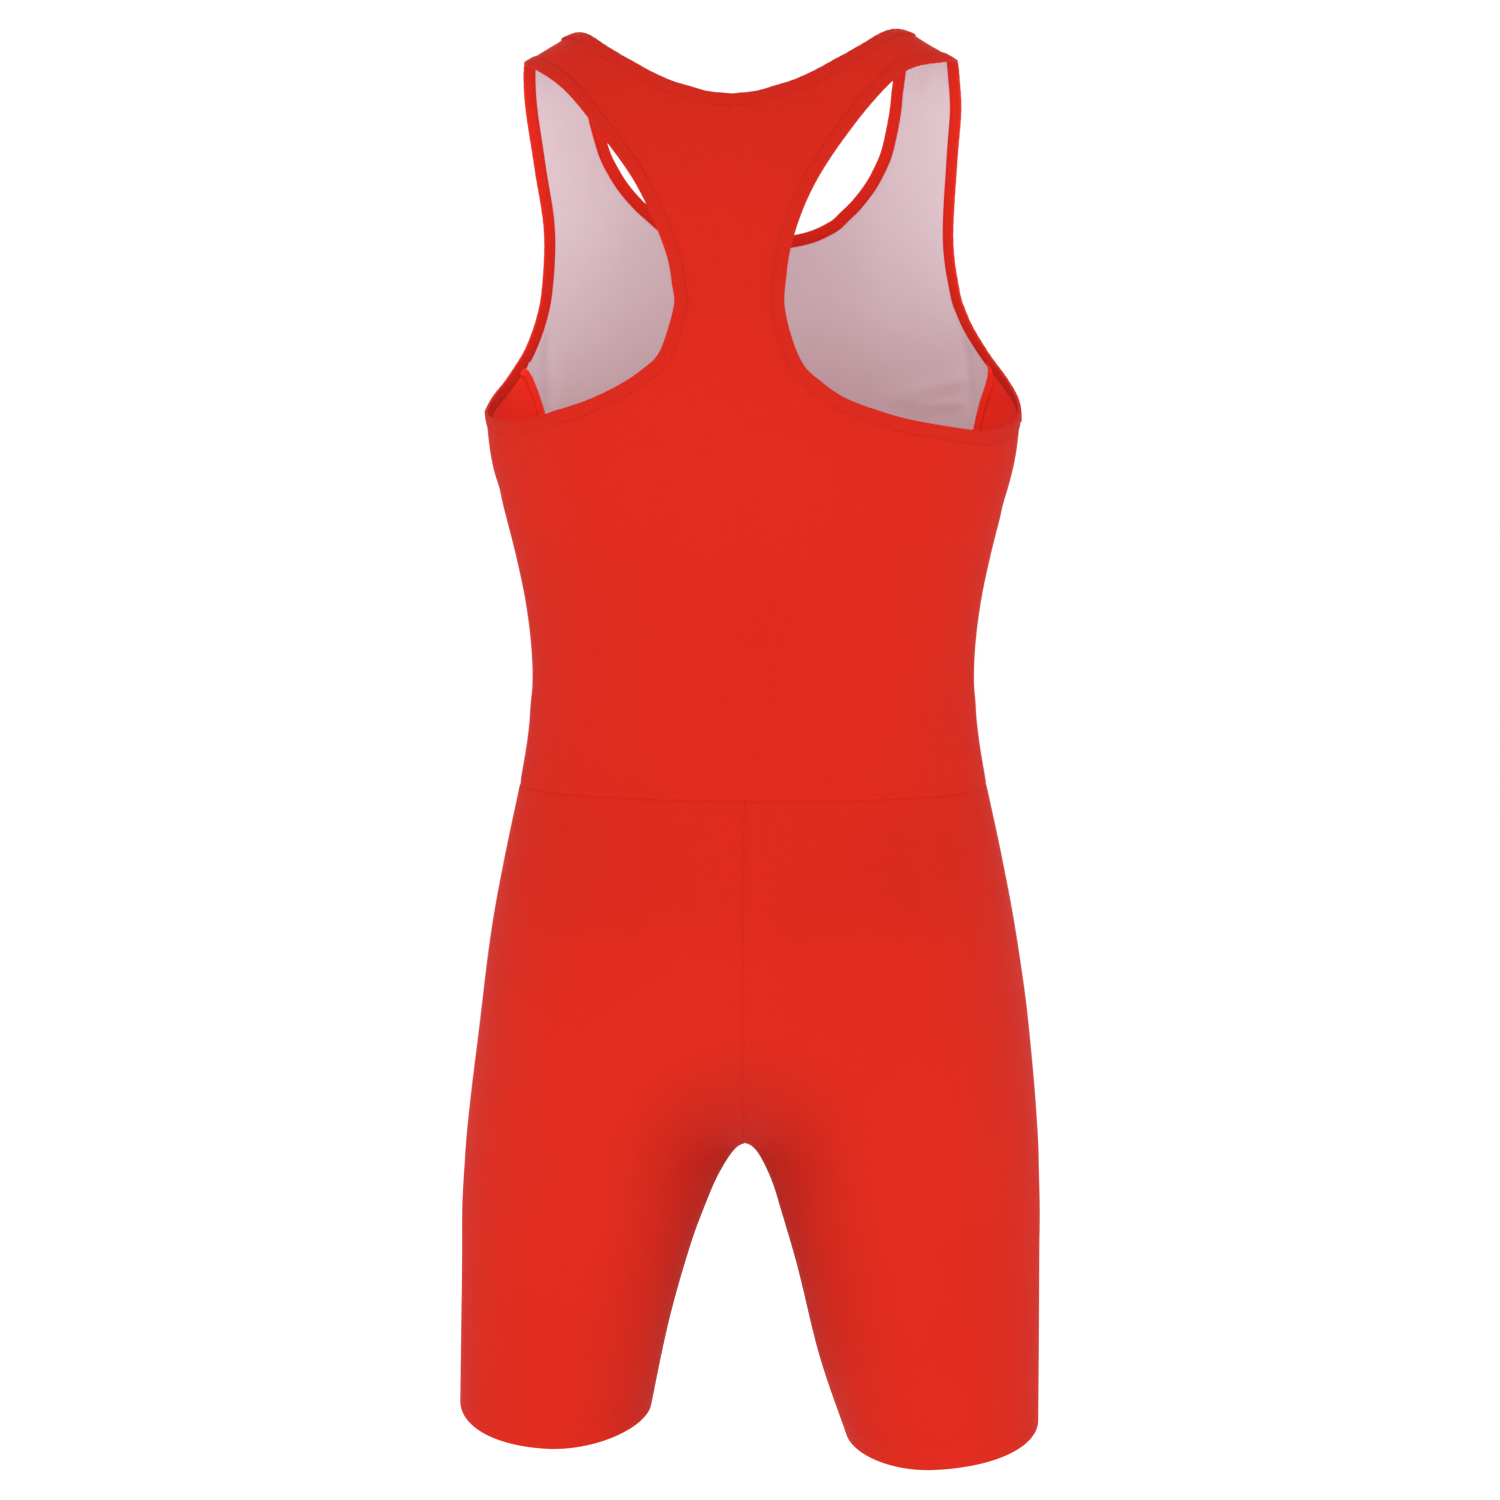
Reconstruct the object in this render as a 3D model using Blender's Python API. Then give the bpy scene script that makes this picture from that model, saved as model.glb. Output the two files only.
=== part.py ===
"""Sleeveless racerback sprint suit in its worn form: open, hollow, with no wearer.

Metres, +Z up, front towards -Y, the wearer's left towards +X. The origin is the middle of the
shoulder line. A point of the bodice is (ring, level): ring 0 is the centre back, 1 the side and
2 the centre front, negative on the wearer's right; level is in millimetres below the underarm and
in quarter degrees round the shoulder above it, so 360 is the shoulder line.
"""
import math

import bpy
import numpy as np

WALL = 0.0012
BAND_WALL = 0.0022
BAND_WIDTH = 0.0080
BAND_FOLD = 0.0009
SEAM_GAP = 0.0003
HEM_DEPTH = 0.020
HEM_EXTRA = 0.0009

UNDERARM_Z = -0.240
WAIST_Z = -0.4745
CROTCH_Z = -0.7055
RISE_HEIGHT = 0.110
CROTCH_SLOPE = 0.32
SECTION_POWER = 2.3
SECTION_DEPTH = 0.69
LEG_POWER = 2.15
SHOULDER_RISE = 1.9
SHOULDER_BACK = 0.010
SHOULDER_TOP = 0.0085
SHOULDER_SLOPE = 2.05
SHOULDER_LEAN = 0.0078
LEAN_FROM = -0.250
LEAN_HEIGHT = 0.080
STRAP_STAND = 0.0024
STRAP_STAND_AT = 0.102
STRAP_STAND_WIDTH = 0.014
QUARTER_RING = 0.235
SHOULDER_LEVEL = 360.0
SHOULDER_GAP = 0.36
SHOULDER_INSET = 0.0385
GAP_SHIFT = 0.006
GAP_SHIFT_BELOW_WAIST = 0.12
GAP_SHIFT_HEIGHT = 0.18
GAP_SHIFT_REACH = 0.19
HIP_BLEND = 0.085

# Sections of the bodice: height, half width, depth to the front, depth to the back.
BODICE = (
    (-0.240, 0.1667, 0.117, 0.113),
    (-0.270, 0.1633, 0.117, 0.111),
    (-0.300, 0.1560, 0.115, 0.106),
    (-0.330, 0.1487, 0.111, 0.099),
    (-0.360, 0.1428, 0.107, 0.092),
    (-0.410, 0.1391, 0.101, 0.085),
    (-0.445, 0.1424, 0.100, 0.087),
    (-0.4745, 0.1474, 0.100, 0.092),
)

# Sections of the legs: height, half width, front, back, line of greatest depth, half gap left.
LEGS = (
    (-0.4745, 0.1474, 0.100, 0.092, 0.060, 0.0),
    (-0.520, 0.1573, 0.102, 0.106, 0.070, 0.0),
    (-0.560, 0.1650, 0.103, 0.118, 0.078, 0.0),
    (-0.600, 0.1711, 0.103, 0.124, 0.083, 0.0),
    (-0.640, 0.1762, 0.101, 0.123, 0.086, 0.0),
    (-0.680, 0.1809, 0.098, 0.115, 0.088, 0.0),
    (-0.7055, 0.1834, 0.094, 0.105, 0.089, 0.0),
    (-0.7206, 0.1843, 0.091, 0.100, 0.091, 0.0119),
    (-0.7339, 0.1851, 0.088, 0.095, 0.095, 0.0190),
    (-0.7473, 0.1857, 0.086, 0.092, 0.099, 0.0242),
    (-0.774, 0.1860, 0.083, 0.087, 0.105, 0.0332),
    (-0.828, 0.1868, 0.079, 0.081, 0.115, 0.0482),
    (-0.880, 0.1875, 0.077, 0.079, 0.123, 0.0600),
)

# How much wider the right leg's half of the gap is: height, width.
GAP_RIGHT = ((-0.7055, 0.0), (-0.7206, 0.0019), (-0.774, 0.0012), (-0.828, 0.0012), (-0.880, 0.0072))

# Sideways drift of both legs towards the wearer's left: height, distance.
LEG_DRIFT = ((-0.4745, 0.0), (-0.540, -0.0003), (-0.587, -0.0007), (-0.613, -0.0010),
             (-0.660, -0.0005), (-0.700, 0.0004), (-0.740, 0.0013), (-0.800, 0.0018), (-0.880, 0.0026))

# Lean of each hem against the level: drop, fall per metre outwards, fall per metre backwards.
HEMS = {"left": (0.0005, -0.04, 0.07), "right": (0.013, -0.075, 0.02)}

# How much further out the neckline lies at the left shoulder and at the right, in ring.
NECK_WIDER = {"left": 0.010, "right": 0.0}

# Armhole edge from the shoulder down the front, under the arm and up the back:
# ring and level on the wearer's left, ring and level on the wearer's right.
ARMHOLE = (
    (1.372, 360, 1.372, 360),
    (1.364, 300, 1.372, 300),
    (1.360, 250, 1.362, 250),
    (1.375, 189, 1.374, 193),
    (1.395, 135, 1.385, 128),
    (1.380, 91, 1.360, 91),
    (1.355, 70, 1.337, 77),
    (1.310, 52, 1.305, 63),
    (1.263, 40, 1.243, 44),
    (1.190, 26, 1.170, 29),
    (1.123, 17, 1.098, 17),
    (1.010, 5, 1.002, 5),
    (0.900, -2, 0.900, -5),
    (0.750, -6, 0.760, -11),
    (0.620, -6, 0.645, -12),
    (0.460, 3, 0.427, -5),
    (0.335, 14, 0.285, 6),
    (0.248, 25, 0.210, 18),
    (0.192, 36, 0.167, 30),
    (0.145, 60, 0.143, 56),
    (0.148, 74, 0.145, 74),
    (0.167, 94, 0.162, 99),
    (0.240, 134, 0.213, 133),
    (0.350, 180, 0.315, 181),
    (0.470, 234, 0.422, 232),
    (0.555, 282, 0.555, 293),
    (0.605, 322, 0.603, 326),
    (0.628, 360, 0.628, 360),
)
SIDE_SEAM_ROW = 8

# Side seam below the armhole: level, ring on the left, ring on the right.
SIDE_SEAM = ((29, 1.303, 1.262), (0, 1.335, 1.325), (-40, 1.352, 1.348),
             (-120, 1.360, 1.360), (-234, 1.360, 1.360))

# Neckline from the shoulder down to the middle: ring and level.
NECK_BACK = ((0.450, 360), (0.440, 342), (0.416, 324), (0.351, 279), (0.303, 255), (0.263, 240),
             (0.215, 225), (0.160, 212.5), (0.108, 205), (0.060, 199.5), (0.0, 197))
NECK_FRONT = ((1.550, 360), (1.562, 310), (1.574, 275), (1.585, 245), (1.592, 222), (1.604, 201),
              (1.618, 184), (1.637, 171), (1.662, 158), (1.700, 144), (1.755, 132), (1.845, 118),
              (1.930, 107), (2.0, 103))

BACK_SPLIT = 0.42
YOKE_SPLIT = 158
FRONT_SPLIT = 1.70

CELLS = {
    "shoulder": 5, "neck_back": 9, "yoke": 6, "racer": 5, "wing": 14, "rows": 13,
    "neck_bottom": 5, "neck_side": 9, "strap": 14, "front_side": 5, "leg": 22,
}

SIGNS = {"left": 1, "right": -1}
NARROW_CELL = CELLS["strap"] + CELLS["wing"] + CELLS["racer"]

COLORS = {
    "front": (0.72, 0.03, 0.035, 1), "back": (0.70, 0.025, 0.03, 1),
    "leg_left": (0.68, 0.025, 0.03, 1), "leg_right": (0.66, 0.022, 0.028, 1),
    "neck_binding": (0.60, 0.02, 0.025, 1),
    "armhole_binding_left": (0.60, 0.02, 0.025, 1),
    "armhole_binding_right": (0.60, 0.02, 0.025, 1),
}


def clear_scene():
    for item in list(bpy.data.objects):
        bpy.data.objects.remove(item, do_unlink=True)


def ring_shape():
    """Half width and depth of a unit section against the fraction of its quarter ring."""
    angle = np.linspace(0.0, math.pi / 2, 2001)
    across = np.sin(angle) ** (2 / SECTION_POWER)
    deep = np.cos(angle) ** (2 / SECTION_POWER)
    run = np.concatenate([[0], np.cumsum(np.hypot(np.diff(across), SECTION_DEPTH * np.diff(deep)))])
    return run / run[-1], across, deep


RING_RUN, RING_ACROSS, RING_DEEP = ring_shape()


def smooth_table(rows, column, height):
    """A column of a table of sections, read at any height along a smooth curve."""
    heights = np.array([row[0] for row in rows])[::-1]
    values = np.array([row[column] for row in rows])[::-1]
    slopes = np.gradient(values, heights)
    spot = np.clip(np.searchsorted(heights, height, side="right") - 1, 0, len(heights) - 2)
    step = heights[spot + 1] - heights[spot]
    t = np.clip((height - heights[spot]) / step, 0, 1)
    start, end = values[spot], values[spot + 1]
    return (start * (2 * t ** 3 - 3 * t ** 2 + 1) + slopes[spot] * step * (t ** 3 - 2 * t ** 2 + t)
            + end * (3 * t ** 2 - 2 * t ** 3) + slopes[spot + 1] * step * (t ** 3 - t ** 2))


def ease(share):
    share = np.clip(share, 0, 1)
    return share * share * (3 - 2 * share)


def lean(height):
    return SHOULDER_LEAN * ease((height - LEAN_FROM) / LEAN_HEIGHT)


def bodice_point(spot):
    """Points of the bodice's middle layer for an array of (ring, level)."""
    ring, level = spot[..., 0], spot[..., 1]
    fraction = np.where(np.abs(ring) <= 1, np.abs(ring), 2 - np.abs(ring))
    across = np.interp(fraction, RING_RUN, RING_ACROSS) * np.sign(ring)
    deep = np.interp(fraction, RING_RUN, RING_DEEP)
    angle = np.radians(np.maximum(level, 0) / 4)
    rise = np.sin(angle) ** (2 / SHOULDER_RISE)
    low = UNDERARM_Z + np.minimum(level, 0) / 1000
    x = smooth_table(BODICE, 1, low) * across
    front, back = smooth_table(BODICE, 2, low), smooth_table(BODICE, 3, low)
    stand = np.exp(-((np.abs(x) - STRAP_STAND_AT) / STRAP_STAND_WIDTH) ** 2)
    ridge = SHOULDER_TOP - SHOULDER_SLOPE * x ** 2 + STRAP_STAND * stand
    z = np.where(level > 0, UNDERARM_Z + (ridge - UNDERARM_Z) * rise, low)
    depth = np.where(np.abs(ring) <= 1, back, -front)
    y = SHOULDER_BACK * rise + depth * deep * np.cos(angle)
    return np.stack([x + lean(z), y, z], axis=-1)


def curve(points, steps=24):
    """A dense smooth line through the points of a table."""
    points = np.asarray(points, float)
    padded = np.vstack([2 * points[0] - points[1], points, 2 * points[-1] - points[-2]])
    t = np.linspace(0, 1, steps, endpoint=False)[:, None]
    parts = []
    for a, b, c, d in zip(padded, padded[1:], padded[2:], padded[3:]):
        parts.append(0.5 * (2 * b + (c - a) * t + (2 * a - 5 * b + 4 * c - d) * t ** 2
                            + (3 * b - a - 3 * c + d) * t ** 3))
    return np.vstack(parts + [points[-1:]])


def resample(line, cells):
    """The line cut into equal cells by its length on the cloth."""
    step = np.diff(line, axis=0) * np.array([QUARTER_RING * 1000, 1.0])
    run = np.concatenate([[0], np.cumsum(np.hypot(step[:, 0], step[:, 1]))])
    at = np.linspace(0, run[-1], cells + 1)
    return np.stack([np.interp(at, run, line[:, 0]), np.interp(at, run, line[:, 1])], axis=-1)


def straight(start, end, cells):
    return np.linspace(start, end, cells + 1)


def cloth_frame(line):
    """Outward normals and the steps along the ring and the level, for a line of points."""
    inside = line - np.array([0.0, 0.06])
    ring, level = np.array([0.0005, 0.0]), np.array([0.0, 0.05])
    along_ring = (bodice_point(inside + ring) - bodice_point(inside - ring)) / 0.001
    along_level = (bodice_point(inside + level) - bodice_point(inside - level)) / 0.1
    normal = np.cross(along_level, along_ring)
    return normal / np.linalg.norm(normal, axis=-1, keepdims=True), along_ring, along_level


def step_on_cloth(line, move):
    """The change of ring and level that carries each point by a move in space."""
    _, along_ring, along_level = cloth_frame(line)
    mixed = (along_ring * along_level).sum(-1)
    rows = [np.stack([(along_ring ** 2).sum(-1), mixed], -1),
            np.stack([mixed, (along_level ** 2).sum(-1)], -1)]
    pull = np.stack([(along_ring * move).sum(-1), (along_level * move).sum(-1)], -1)
    return np.linalg.solve(np.stack(rows, -2), pull[..., None])[..., 0]


def inset(line, side, turn):
    """An edge line with its normals, its direction out, and the line a band's width inside it."""
    flip = np.array([SIGNS[side], 1])
    spot = line * flip
    normal = cloth_frame(spot)[0]
    tangent = np.gradient(bodice_point(spot), axis=0)
    centre = (line[:, 0] < 1e-6) | (line[:, 0] > 2 - 1e-6)
    tangent[centre, 1:] = 0
    normal[centre, 0] = 0
    out = np.cross(normal, tangent) * turn * SIGNS[side]
    out /= np.linalg.norm(out, axis=-1, keepdims=True)
    moved = spot.copy()
    for _ in range(4):
        moved = moved - step_on_cloth(moved, out * BAND_WIDTH / 4)
        moved[centre, 0] = spot[centre, 0]
    top = line[:, 1] > SHOULDER_LEVEL - 0.01
    moved[top] = spot[top] + np.sign(moved[top] - spot[top]) * np.array([SHOULDER_INSET, 0])
    return {"edge": bodice_point(spot), "rim": bodice_point(moved), "normal": normal,
            "out": out, "inner": moved * flip}


def coons(bottom, top, left, right):
    """A grid between four sides; bottom and top run across, left and right run up."""
    u = np.linspace(0, 1, len(bottom))[None, :, None]
    w = np.linspace(0, 1, len(left))[:, None, None]
    grid = (1 - w) * bottom[None] + w * top[None] + (1 - u) * left[:, None] + u * right[:, None]
    corners = ((1 - w) * (1 - u) * bottom[0] + (1 - w) * u * bottom[-1]
               + w * (1 - u) * top[0] + w * u * top[-1])
    return grid - corners


def armhole_line(side):
    columns = (0, 1) if side == "left" else (2, 3)
    table = np.array([[row[columns[0]], row[columns[1]]] for row in ARMHOLE], float)
    line = curve(table)
    split = SIDE_SEAM_ROW * 24
    return line[:split + 1], line[split:]


def neck_line(rows, side):
    """The neckline's curve, moved out towards the shoulder on the side that lies wider."""
    line = curve(rows)
    inward = np.minimum(line[:, 0], 2 - line[:, 0]) / NECK_BACK[0][0]
    line[:, 0] += NECK_WIDER[side] * inward ** 2 * np.where(line[:, 0] < 1, 1, -1)
    return line


def half_edges(side):
    """The armhole and neck edges of one side, as bands of edge and inner points."""
    front, back = armhole_line(side)
    narrow = int(np.argmin(back[:, 0]))
    low = int(np.argmin(np.abs(back[:narrow, 0] - BACK_SPLIT)))
    arm_front = resample(front, CELLS["strap"])
    wing = resample(back[:low + 1], CELLS["wing"])
    racer = resample(back[low:narrow + 1], CELLS["racer"])
    high = narrow + int(np.argmin(np.abs(back[narrow:, 1] - YOKE_SPLIT)))
    yoke = resample(back[narrow:high + 1], CELLS["yoke"])
    strap = resample(back[high:], CELLS["neck_back"])
    arm = np.vstack([arm_front, wing[1:], racer[1:], yoke[1:], strap[1:]])
    neck_front = neck_line(NECK_FRONT, side)
    split = int(np.argmin(np.abs(neck_front[:, 0] - FRONT_SPLIT)))
    neck = np.vstack([resample(neck_front[:split + 1], CELLS["neck_side"]),
                      resample(neck_front[split:], CELLS["neck_bottom"])[1:]])
    neck_back = resample(neck_line(NECK_BACK, side), CELLS["neck_back"])
    return {"arm": inset(arm, side, 1), "neck_front": inset(neck, side, -1),
            "neck_back": inset(neck_back, side, 1)}


def seam_line(side, top, waist, shift):
    """The side seam from the waist up to the armhole band."""
    column = 1 if side == "left" else 2
    rows = [row for row in SIDE_SEAM if row[0] < top[1] - 4]
    points = [tuple(top)] + [(row[column], row[0]) for row in rows]
    line = resample(curve(points)[::-1], CELLS["rows"])
    line[:, 0] += shift
    line[0, 1] = waist
    return line


def back_half(edges, side, middle_level):
    """Grids of one half of the back panel: wing, lower middle and yoke."""
    arm = edges["arm"]["inner"]
    first = CELLS["strap"]
    low, narrow = first + CELLS["wing"], first + CELLS["wing"] + CELLS["racer"]
    waist = level_of(WAIST_Z) + SEAM_GAP * 500
    seam = seam_line(side, arm[first], waist, -SEAM_GAP / 2 / QUARTER_RING)
    wing_top = arm[first:low + 1][::-1].copy()
    wing_top[-1] = seam[-1]
    post = straight((BACK_SPLIT, waist), arm[low], CELLS["rows"])
    wing = coons(straight((BACK_SPLIT, waist), seam[0], CELLS["wing"]), wing_top, post, seam)
    across = CELLS["shoulder"]
    row = straight((0.0, middle_level), arm[narrow], across)
    climb = np.vstack([post, arm[low:narrow + 1][1:]])
    middle = coons(straight((0.0, waist), (BACK_SPLIT, waist), across), row,
                   straight((0.0, waist), (0.0, middle_level), len(climb) - 1), climb)
    neck = edges["neck_back"]["inner"][::-1]
    centre = straight(row[0], neck[0], CELLS["yoke"])
    left, right = np.vstack([centre, neck[1:]]), arm[narrow:].copy()
    left[-1, 1] -= SHOULDER_GAP
    right[-1, 1] -= SHOULDER_GAP
    yoke = coons(row, straight(left[-1], right[-1], across), left, right)
    return [wing, middle, yoke]


def front_half(edges, side, _):
    """Grids of one half of the front panel: middle, and side with its strap."""
    arm = edges["arm"]["inner"][:CELLS["strap"] + 1]
    neck = edges["neck_front"]["inner"]
    waist = level_of(WAIST_Z) + SEAM_GAP * 500
    seam = seam_line(side, arm[-1], waist, SEAM_GAP / 2 / QUARTER_RING)
    outer = np.vstack([seam, arm[::-1][1:]])
    outer[-1, 1] -= SHOULDER_GAP
    bend = CELLS["neck_side"]
    rows = len(outer) - 1 - bend
    post = straight((FRONT_SPLIT, waist), neck[bend], rows)
    middle = coons(straight((2.0, waist), (FRONT_SPLIT, waist), CELLS["neck_bottom"]),
                   neck[bend:][::-1], straight((2.0, waist), neck[-1], rows), post)
    inner = np.vstack([post, neck[:bend + 1][::-1][1:]])
    inner[-1, 1] -= SHOULDER_GAP
    strap = coons(straight((FRONT_SPLIT, waist), seam[0], CELLS["front_side"]),
                  straight(inner[-1], outer[-1], CELLS["front_side"]), inner, outer)
    return [middle, strap]


def level_of(height):
    return (height - UNDERARM_Z) * 1000


def grid_faces(rows, columns, start, flip=False):
    index = np.arange(rows * columns).reshape(rows, columns) + start
    quads = np.stack([index[:-1, :-1], index[:-1, 1:], index[1:, 1:], index[1:, :-1]], -1)
    quads = quads.reshape(-1, 4)
    return quads[:, ::-1] if flip else quads


def weld(points, faces, reach=2e-5):
    """Joins points that lie together and drops the sides of a face that close up."""
    keys = np.round(points / reach).astype(np.int64)
    _, first, back = np.unique(keys, axis=0, return_index=True, return_inverse=True)
    back = back.reshape(-1)
    kept = []
    for face in faces:
        ring = [back[i] for i in face]
        ring = [p for p, q in zip(ring, ring[1:] + ring[:1]) if p != q]
        if len(ring) >= 3:
            kept.append(ring)
    return points[first], kept


def panel(halves):
    """Points and faces of a bodice panel from the grids of its two halves."""
    points, faces, start = [], [], 0
    for sign, grids in halves:
        for grid in grids:
            spot = grid.copy()
            spot[..., 0] *= sign
            made = bodice_point(spot)
            facing = np.cross(made[0, 1] - made[0, 0], made[1, 0] - made[0, 0])
            outward = made[0, 0] * np.array([1, 1, 0])
            rows, columns = grid.shape[:2]
            faces.extend(grid_faces(rows, columns, start, facing @ outward < 0).tolist())
            points.append(made.reshape(-1, 3))
            start += rows * columns
    return weld(np.vstack(points), faces)


def point_normals(points, faces):
    normals = np.zeros_like(points)
    for face in faces:
        ring = points[face]
        area = np.cross(ring - ring[0], np.roll(ring, -1, axis=0) - ring[0]).sum(axis=0)
        normals[face] += area
    return normals / np.linalg.norm(normals, axis=1, keepdims=True)


def rim_edges(faces):
    """The directed edges that only one face has."""
    seen = {}
    for face in faces:
        for a, b in zip(face, face[1:] + face[:1]):
            seen[(a, b)] = seen.get((a, b), 0) + 1
    return [edge for edge in seen if (edge[1], edge[0]) not in seen]


def walled(points, faces, waist, inner=None, centre=None):
    """A closed wall: the layer moved half a wall out and in, with its rims joined.

    The wall stands level at the waist seam, and in the middle plane at the centre seams.
    """
    normals = point_normals(points, faces)
    normals[np.abs(points[:, 2] - waist) < 1e-5, 2] = 0
    if centre is not None:
        normals[centre, 0] = 0
    normals /= np.linalg.norm(normals, axis=1, keepdims=True)
    depth = WALL / 2 if inner is None else inner[:, None]
    count = len(points)
    both = np.vstack([points + normals * WALL / 2, points - normals * depth])
    skins = [list(face) for face in faces] + [[i + count for i in face[::-1]] for face in faces]
    rims = [[b, a, a + count, b + count] for a, b in rim_edges(faces)]
    return both, skins + rims


def leg_section(height, side, cells, gap_seam):
    """One level ring of a leg, from the centre front round the outside to the centre back.

    The outer half is a rounded section; the inner half dips towards the crotch as half a cosine.
    """
    wide, front, back, middle = (smooth_table(LEGS, i, height) for i in (1, 2, 3, 4))
    inner = leg_gap(height, side)
    dip = crotch_dip(height, middle, inner)
    turn = np.linspace(0, math.pi, 1201)
    x = inner + (wide - inner) * (1 - np.cos(turn)) / 2
    inside = 1 - dip * (1 + np.cos(math.pi * np.minimum(x, middle) / middle)) / 2
    outside = 1 - (np.maximum(x - middle, 0) / (wide - middle)) ** LEG_POWER
    shape = np.where(x < middle, np.sqrt(np.maximum(inside, 0)),
                     np.maximum(outside, 0) ** (1 / LEG_POWER))
    body = np.maximum(1 - (x / wide) ** SECTION_POWER, 0) ** (1 / SECTION_POWER)
    mix = ease((WAIST_Z - height) / HIP_BLEND)
    shape = body * (1 - mix) + shape * mix
    if inner > 0:
        shape[0] = 0
    x = np.maximum(x, gap_seam)
    ring = np.vstack([np.stack([x, -front * shape], -1), np.stack([x, back * shape], -1)[::-1][1:]])
    run = np.concatenate([[0], np.cumsum(np.linalg.norm(np.diff(ring, axis=0), axis=1))])
    at = np.linspace(0, run[-1], cells + 1)
    return np.stack([np.interp(at, run, ring[:, 0]), np.interp(at, run, ring[:, 1]),
                     np.full(cells + 1, height)], -1)


def leg_gap(height, side):
    """Half of the gap between the legs: it opens as a square root just below the crotch."""
    if height >= CROTCH_Z:
        return 0.0
    rows = [(row[0], row[5] ** 2) for row in LEGS if row[0] <= CROTCH_Z]
    wider = smooth_table(GAP_RIGHT, 1, height) if side == "right" else 0.0
    return math.sqrt(smooth_table(rows, 1, height)) + wider


def crotch_dip(height, middle, gap):
    """How far the centre sinks between the legs: 0 at the hips, 1 at the crotch, more below.

    Above the crotch it falls as a cubic that leaves the crotch at the slope of the gap.
    """
    if height > CROTCH_Z:
        t = min(1.0, (height - CROTCH_Z) / RISE_HEIGHT)
        return 1 - t * (CROTCH_SLOPE + t * (3 - 2 * CROTCH_SLOPE) - t * t * (2 - CROTCH_SLOPE))
    return 2 / (1 + math.cos(math.pi * gap / middle))


def leg_heights(hem):
    rise = CROTCH_Z + (WAIST_Z - CROTCH_Z) * np.array([1, 0.85, 0.70, 0.56, 0.43, 0.33, 0.24, 0.16,
                                                       0.09, 0.04, 0.012, 0])
    rise[0] = WAIST_Z - SEAM_GAP / 2
    fall = CROTCH_Z - np.array([0.0007, 0.0027, 0.0062, 0.011, 0.020, 0.033, 0.050, 0.070, 0.093, 0.118])
    turned = [hem + HEM_DEPTH + 0.001, hem + HEM_DEPTH, hem]
    return np.concatenate([rise, fall[fall > hem + HEM_DEPTH + 0.008], turned])


def leg_panel(side):
    """Points, faces, inner wall depths and centre seam points of one leg."""
    hem = LEGS[-1][0]
    sign = SIGNS[side]
    heights = leg_heights(hem)
    grid = np.stack([leg_section(h, side, CELLS["leg"], SEAM_GAP / 2) for h in heights])
    faces = grid_faces(grid.shape[0], grid.shape[1], 0, sign < 0).tolist()
    points, faces = weld(grid.reshape(-1, 3), faces)
    inner = np.where(points[:, 2] <= hem + HEM_DEPTH + 1e-6, WALL / 2 + HEM_EXTRA, WALL / 2)
    centre = (points[:, 0] < 0.0004) & (points[:, 2] > CROTCH_Z - 1e-6)
    drop, fall_out, fall_back = HEMS[side]
    share = ease((CROTCH_Z - points[:, 2]) / (CROTCH_Z - hem))
    tilt = drop + fall_out * (points[:, 0] - LEGS[-1][4]) + fall_back * points[:, 1]
    below = WAIST_Z - points[:, 2] - GAP_SHIFT_BELOW_WAIST
    shift = GAP_SHIFT * ease(below / GAP_SHIFT_HEIGHT) * (1 - points[:, 0] / GAP_SHIFT_REACH)
    x = sign * points[:, 0] + shift + smooth_table(LEG_DRIFT, 1, points[:, 2])
    points = np.stack([x, points[:, 1], points[:, 2] - share * tilt], axis=-1)
    return points, faces, inner, centre


def band(edges):
    """A folded strip round an opening, between the panel's rim and the edge."""
    edge, normal, out, inner = (np.vstack([part[key][:-1] for part in edges])
                                for key in ("edge", "normal", "out", "rim"))
    half = BAND_WALL / 2
    inner = inner + out * SEAM_GAP
    fold = edge - out * BAND_FOLD
    section = np.stack([inner + normal * half, fold + normal * half, edge,
                        fold - normal * half, inner - normal * half], axis=1)
    count, corners = section.shape[:2]
    index = np.arange(count * corners).reshape(count, corners)
    ahead = np.roll(index, -1, axis=0)
    turned = np.roll(index, -1, axis=1)
    faces = np.stack([index, turned, np.roll(ahead, -1, axis=1), ahead], -1).reshape(-1, 4)
    return section.reshape(-1, 3), faces.tolist()


def backwards(edges):
    return {key: value[::-1] for key, value in edges.items()}


def volume(points, faces):
    total = 0.0
    for face in faces:
        ring = points[face]
        for a, b in zip(ring[1:], ring[2:]):
            total += np.dot(ring[0], np.cross(a, b))
    return total / 6


def add_node(name, points, faces):
    if volume(points, faces) < 0:
        faces = [face[::-1] for face in faces]
    mesh = bpy.data.meshes.new(name)
    mesh.from_pydata([tuple(p) for p in points], [], faces)
    mesh.validate()
    material = bpy.data.materials.new(name)
    material.use_nodes = True
    shader = material.node_tree.nodes["Principled BSDF"]
    shader.inputs["Base Color"].default_value = COLORS[name]
    shader.inputs["Roughness"].default_value = 0.75
    mesh.materials.append(material)
    node = bpy.data.objects.new(name, mesh)
    bpy.context.scene.collection.objects.link(node)
    return node


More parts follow.
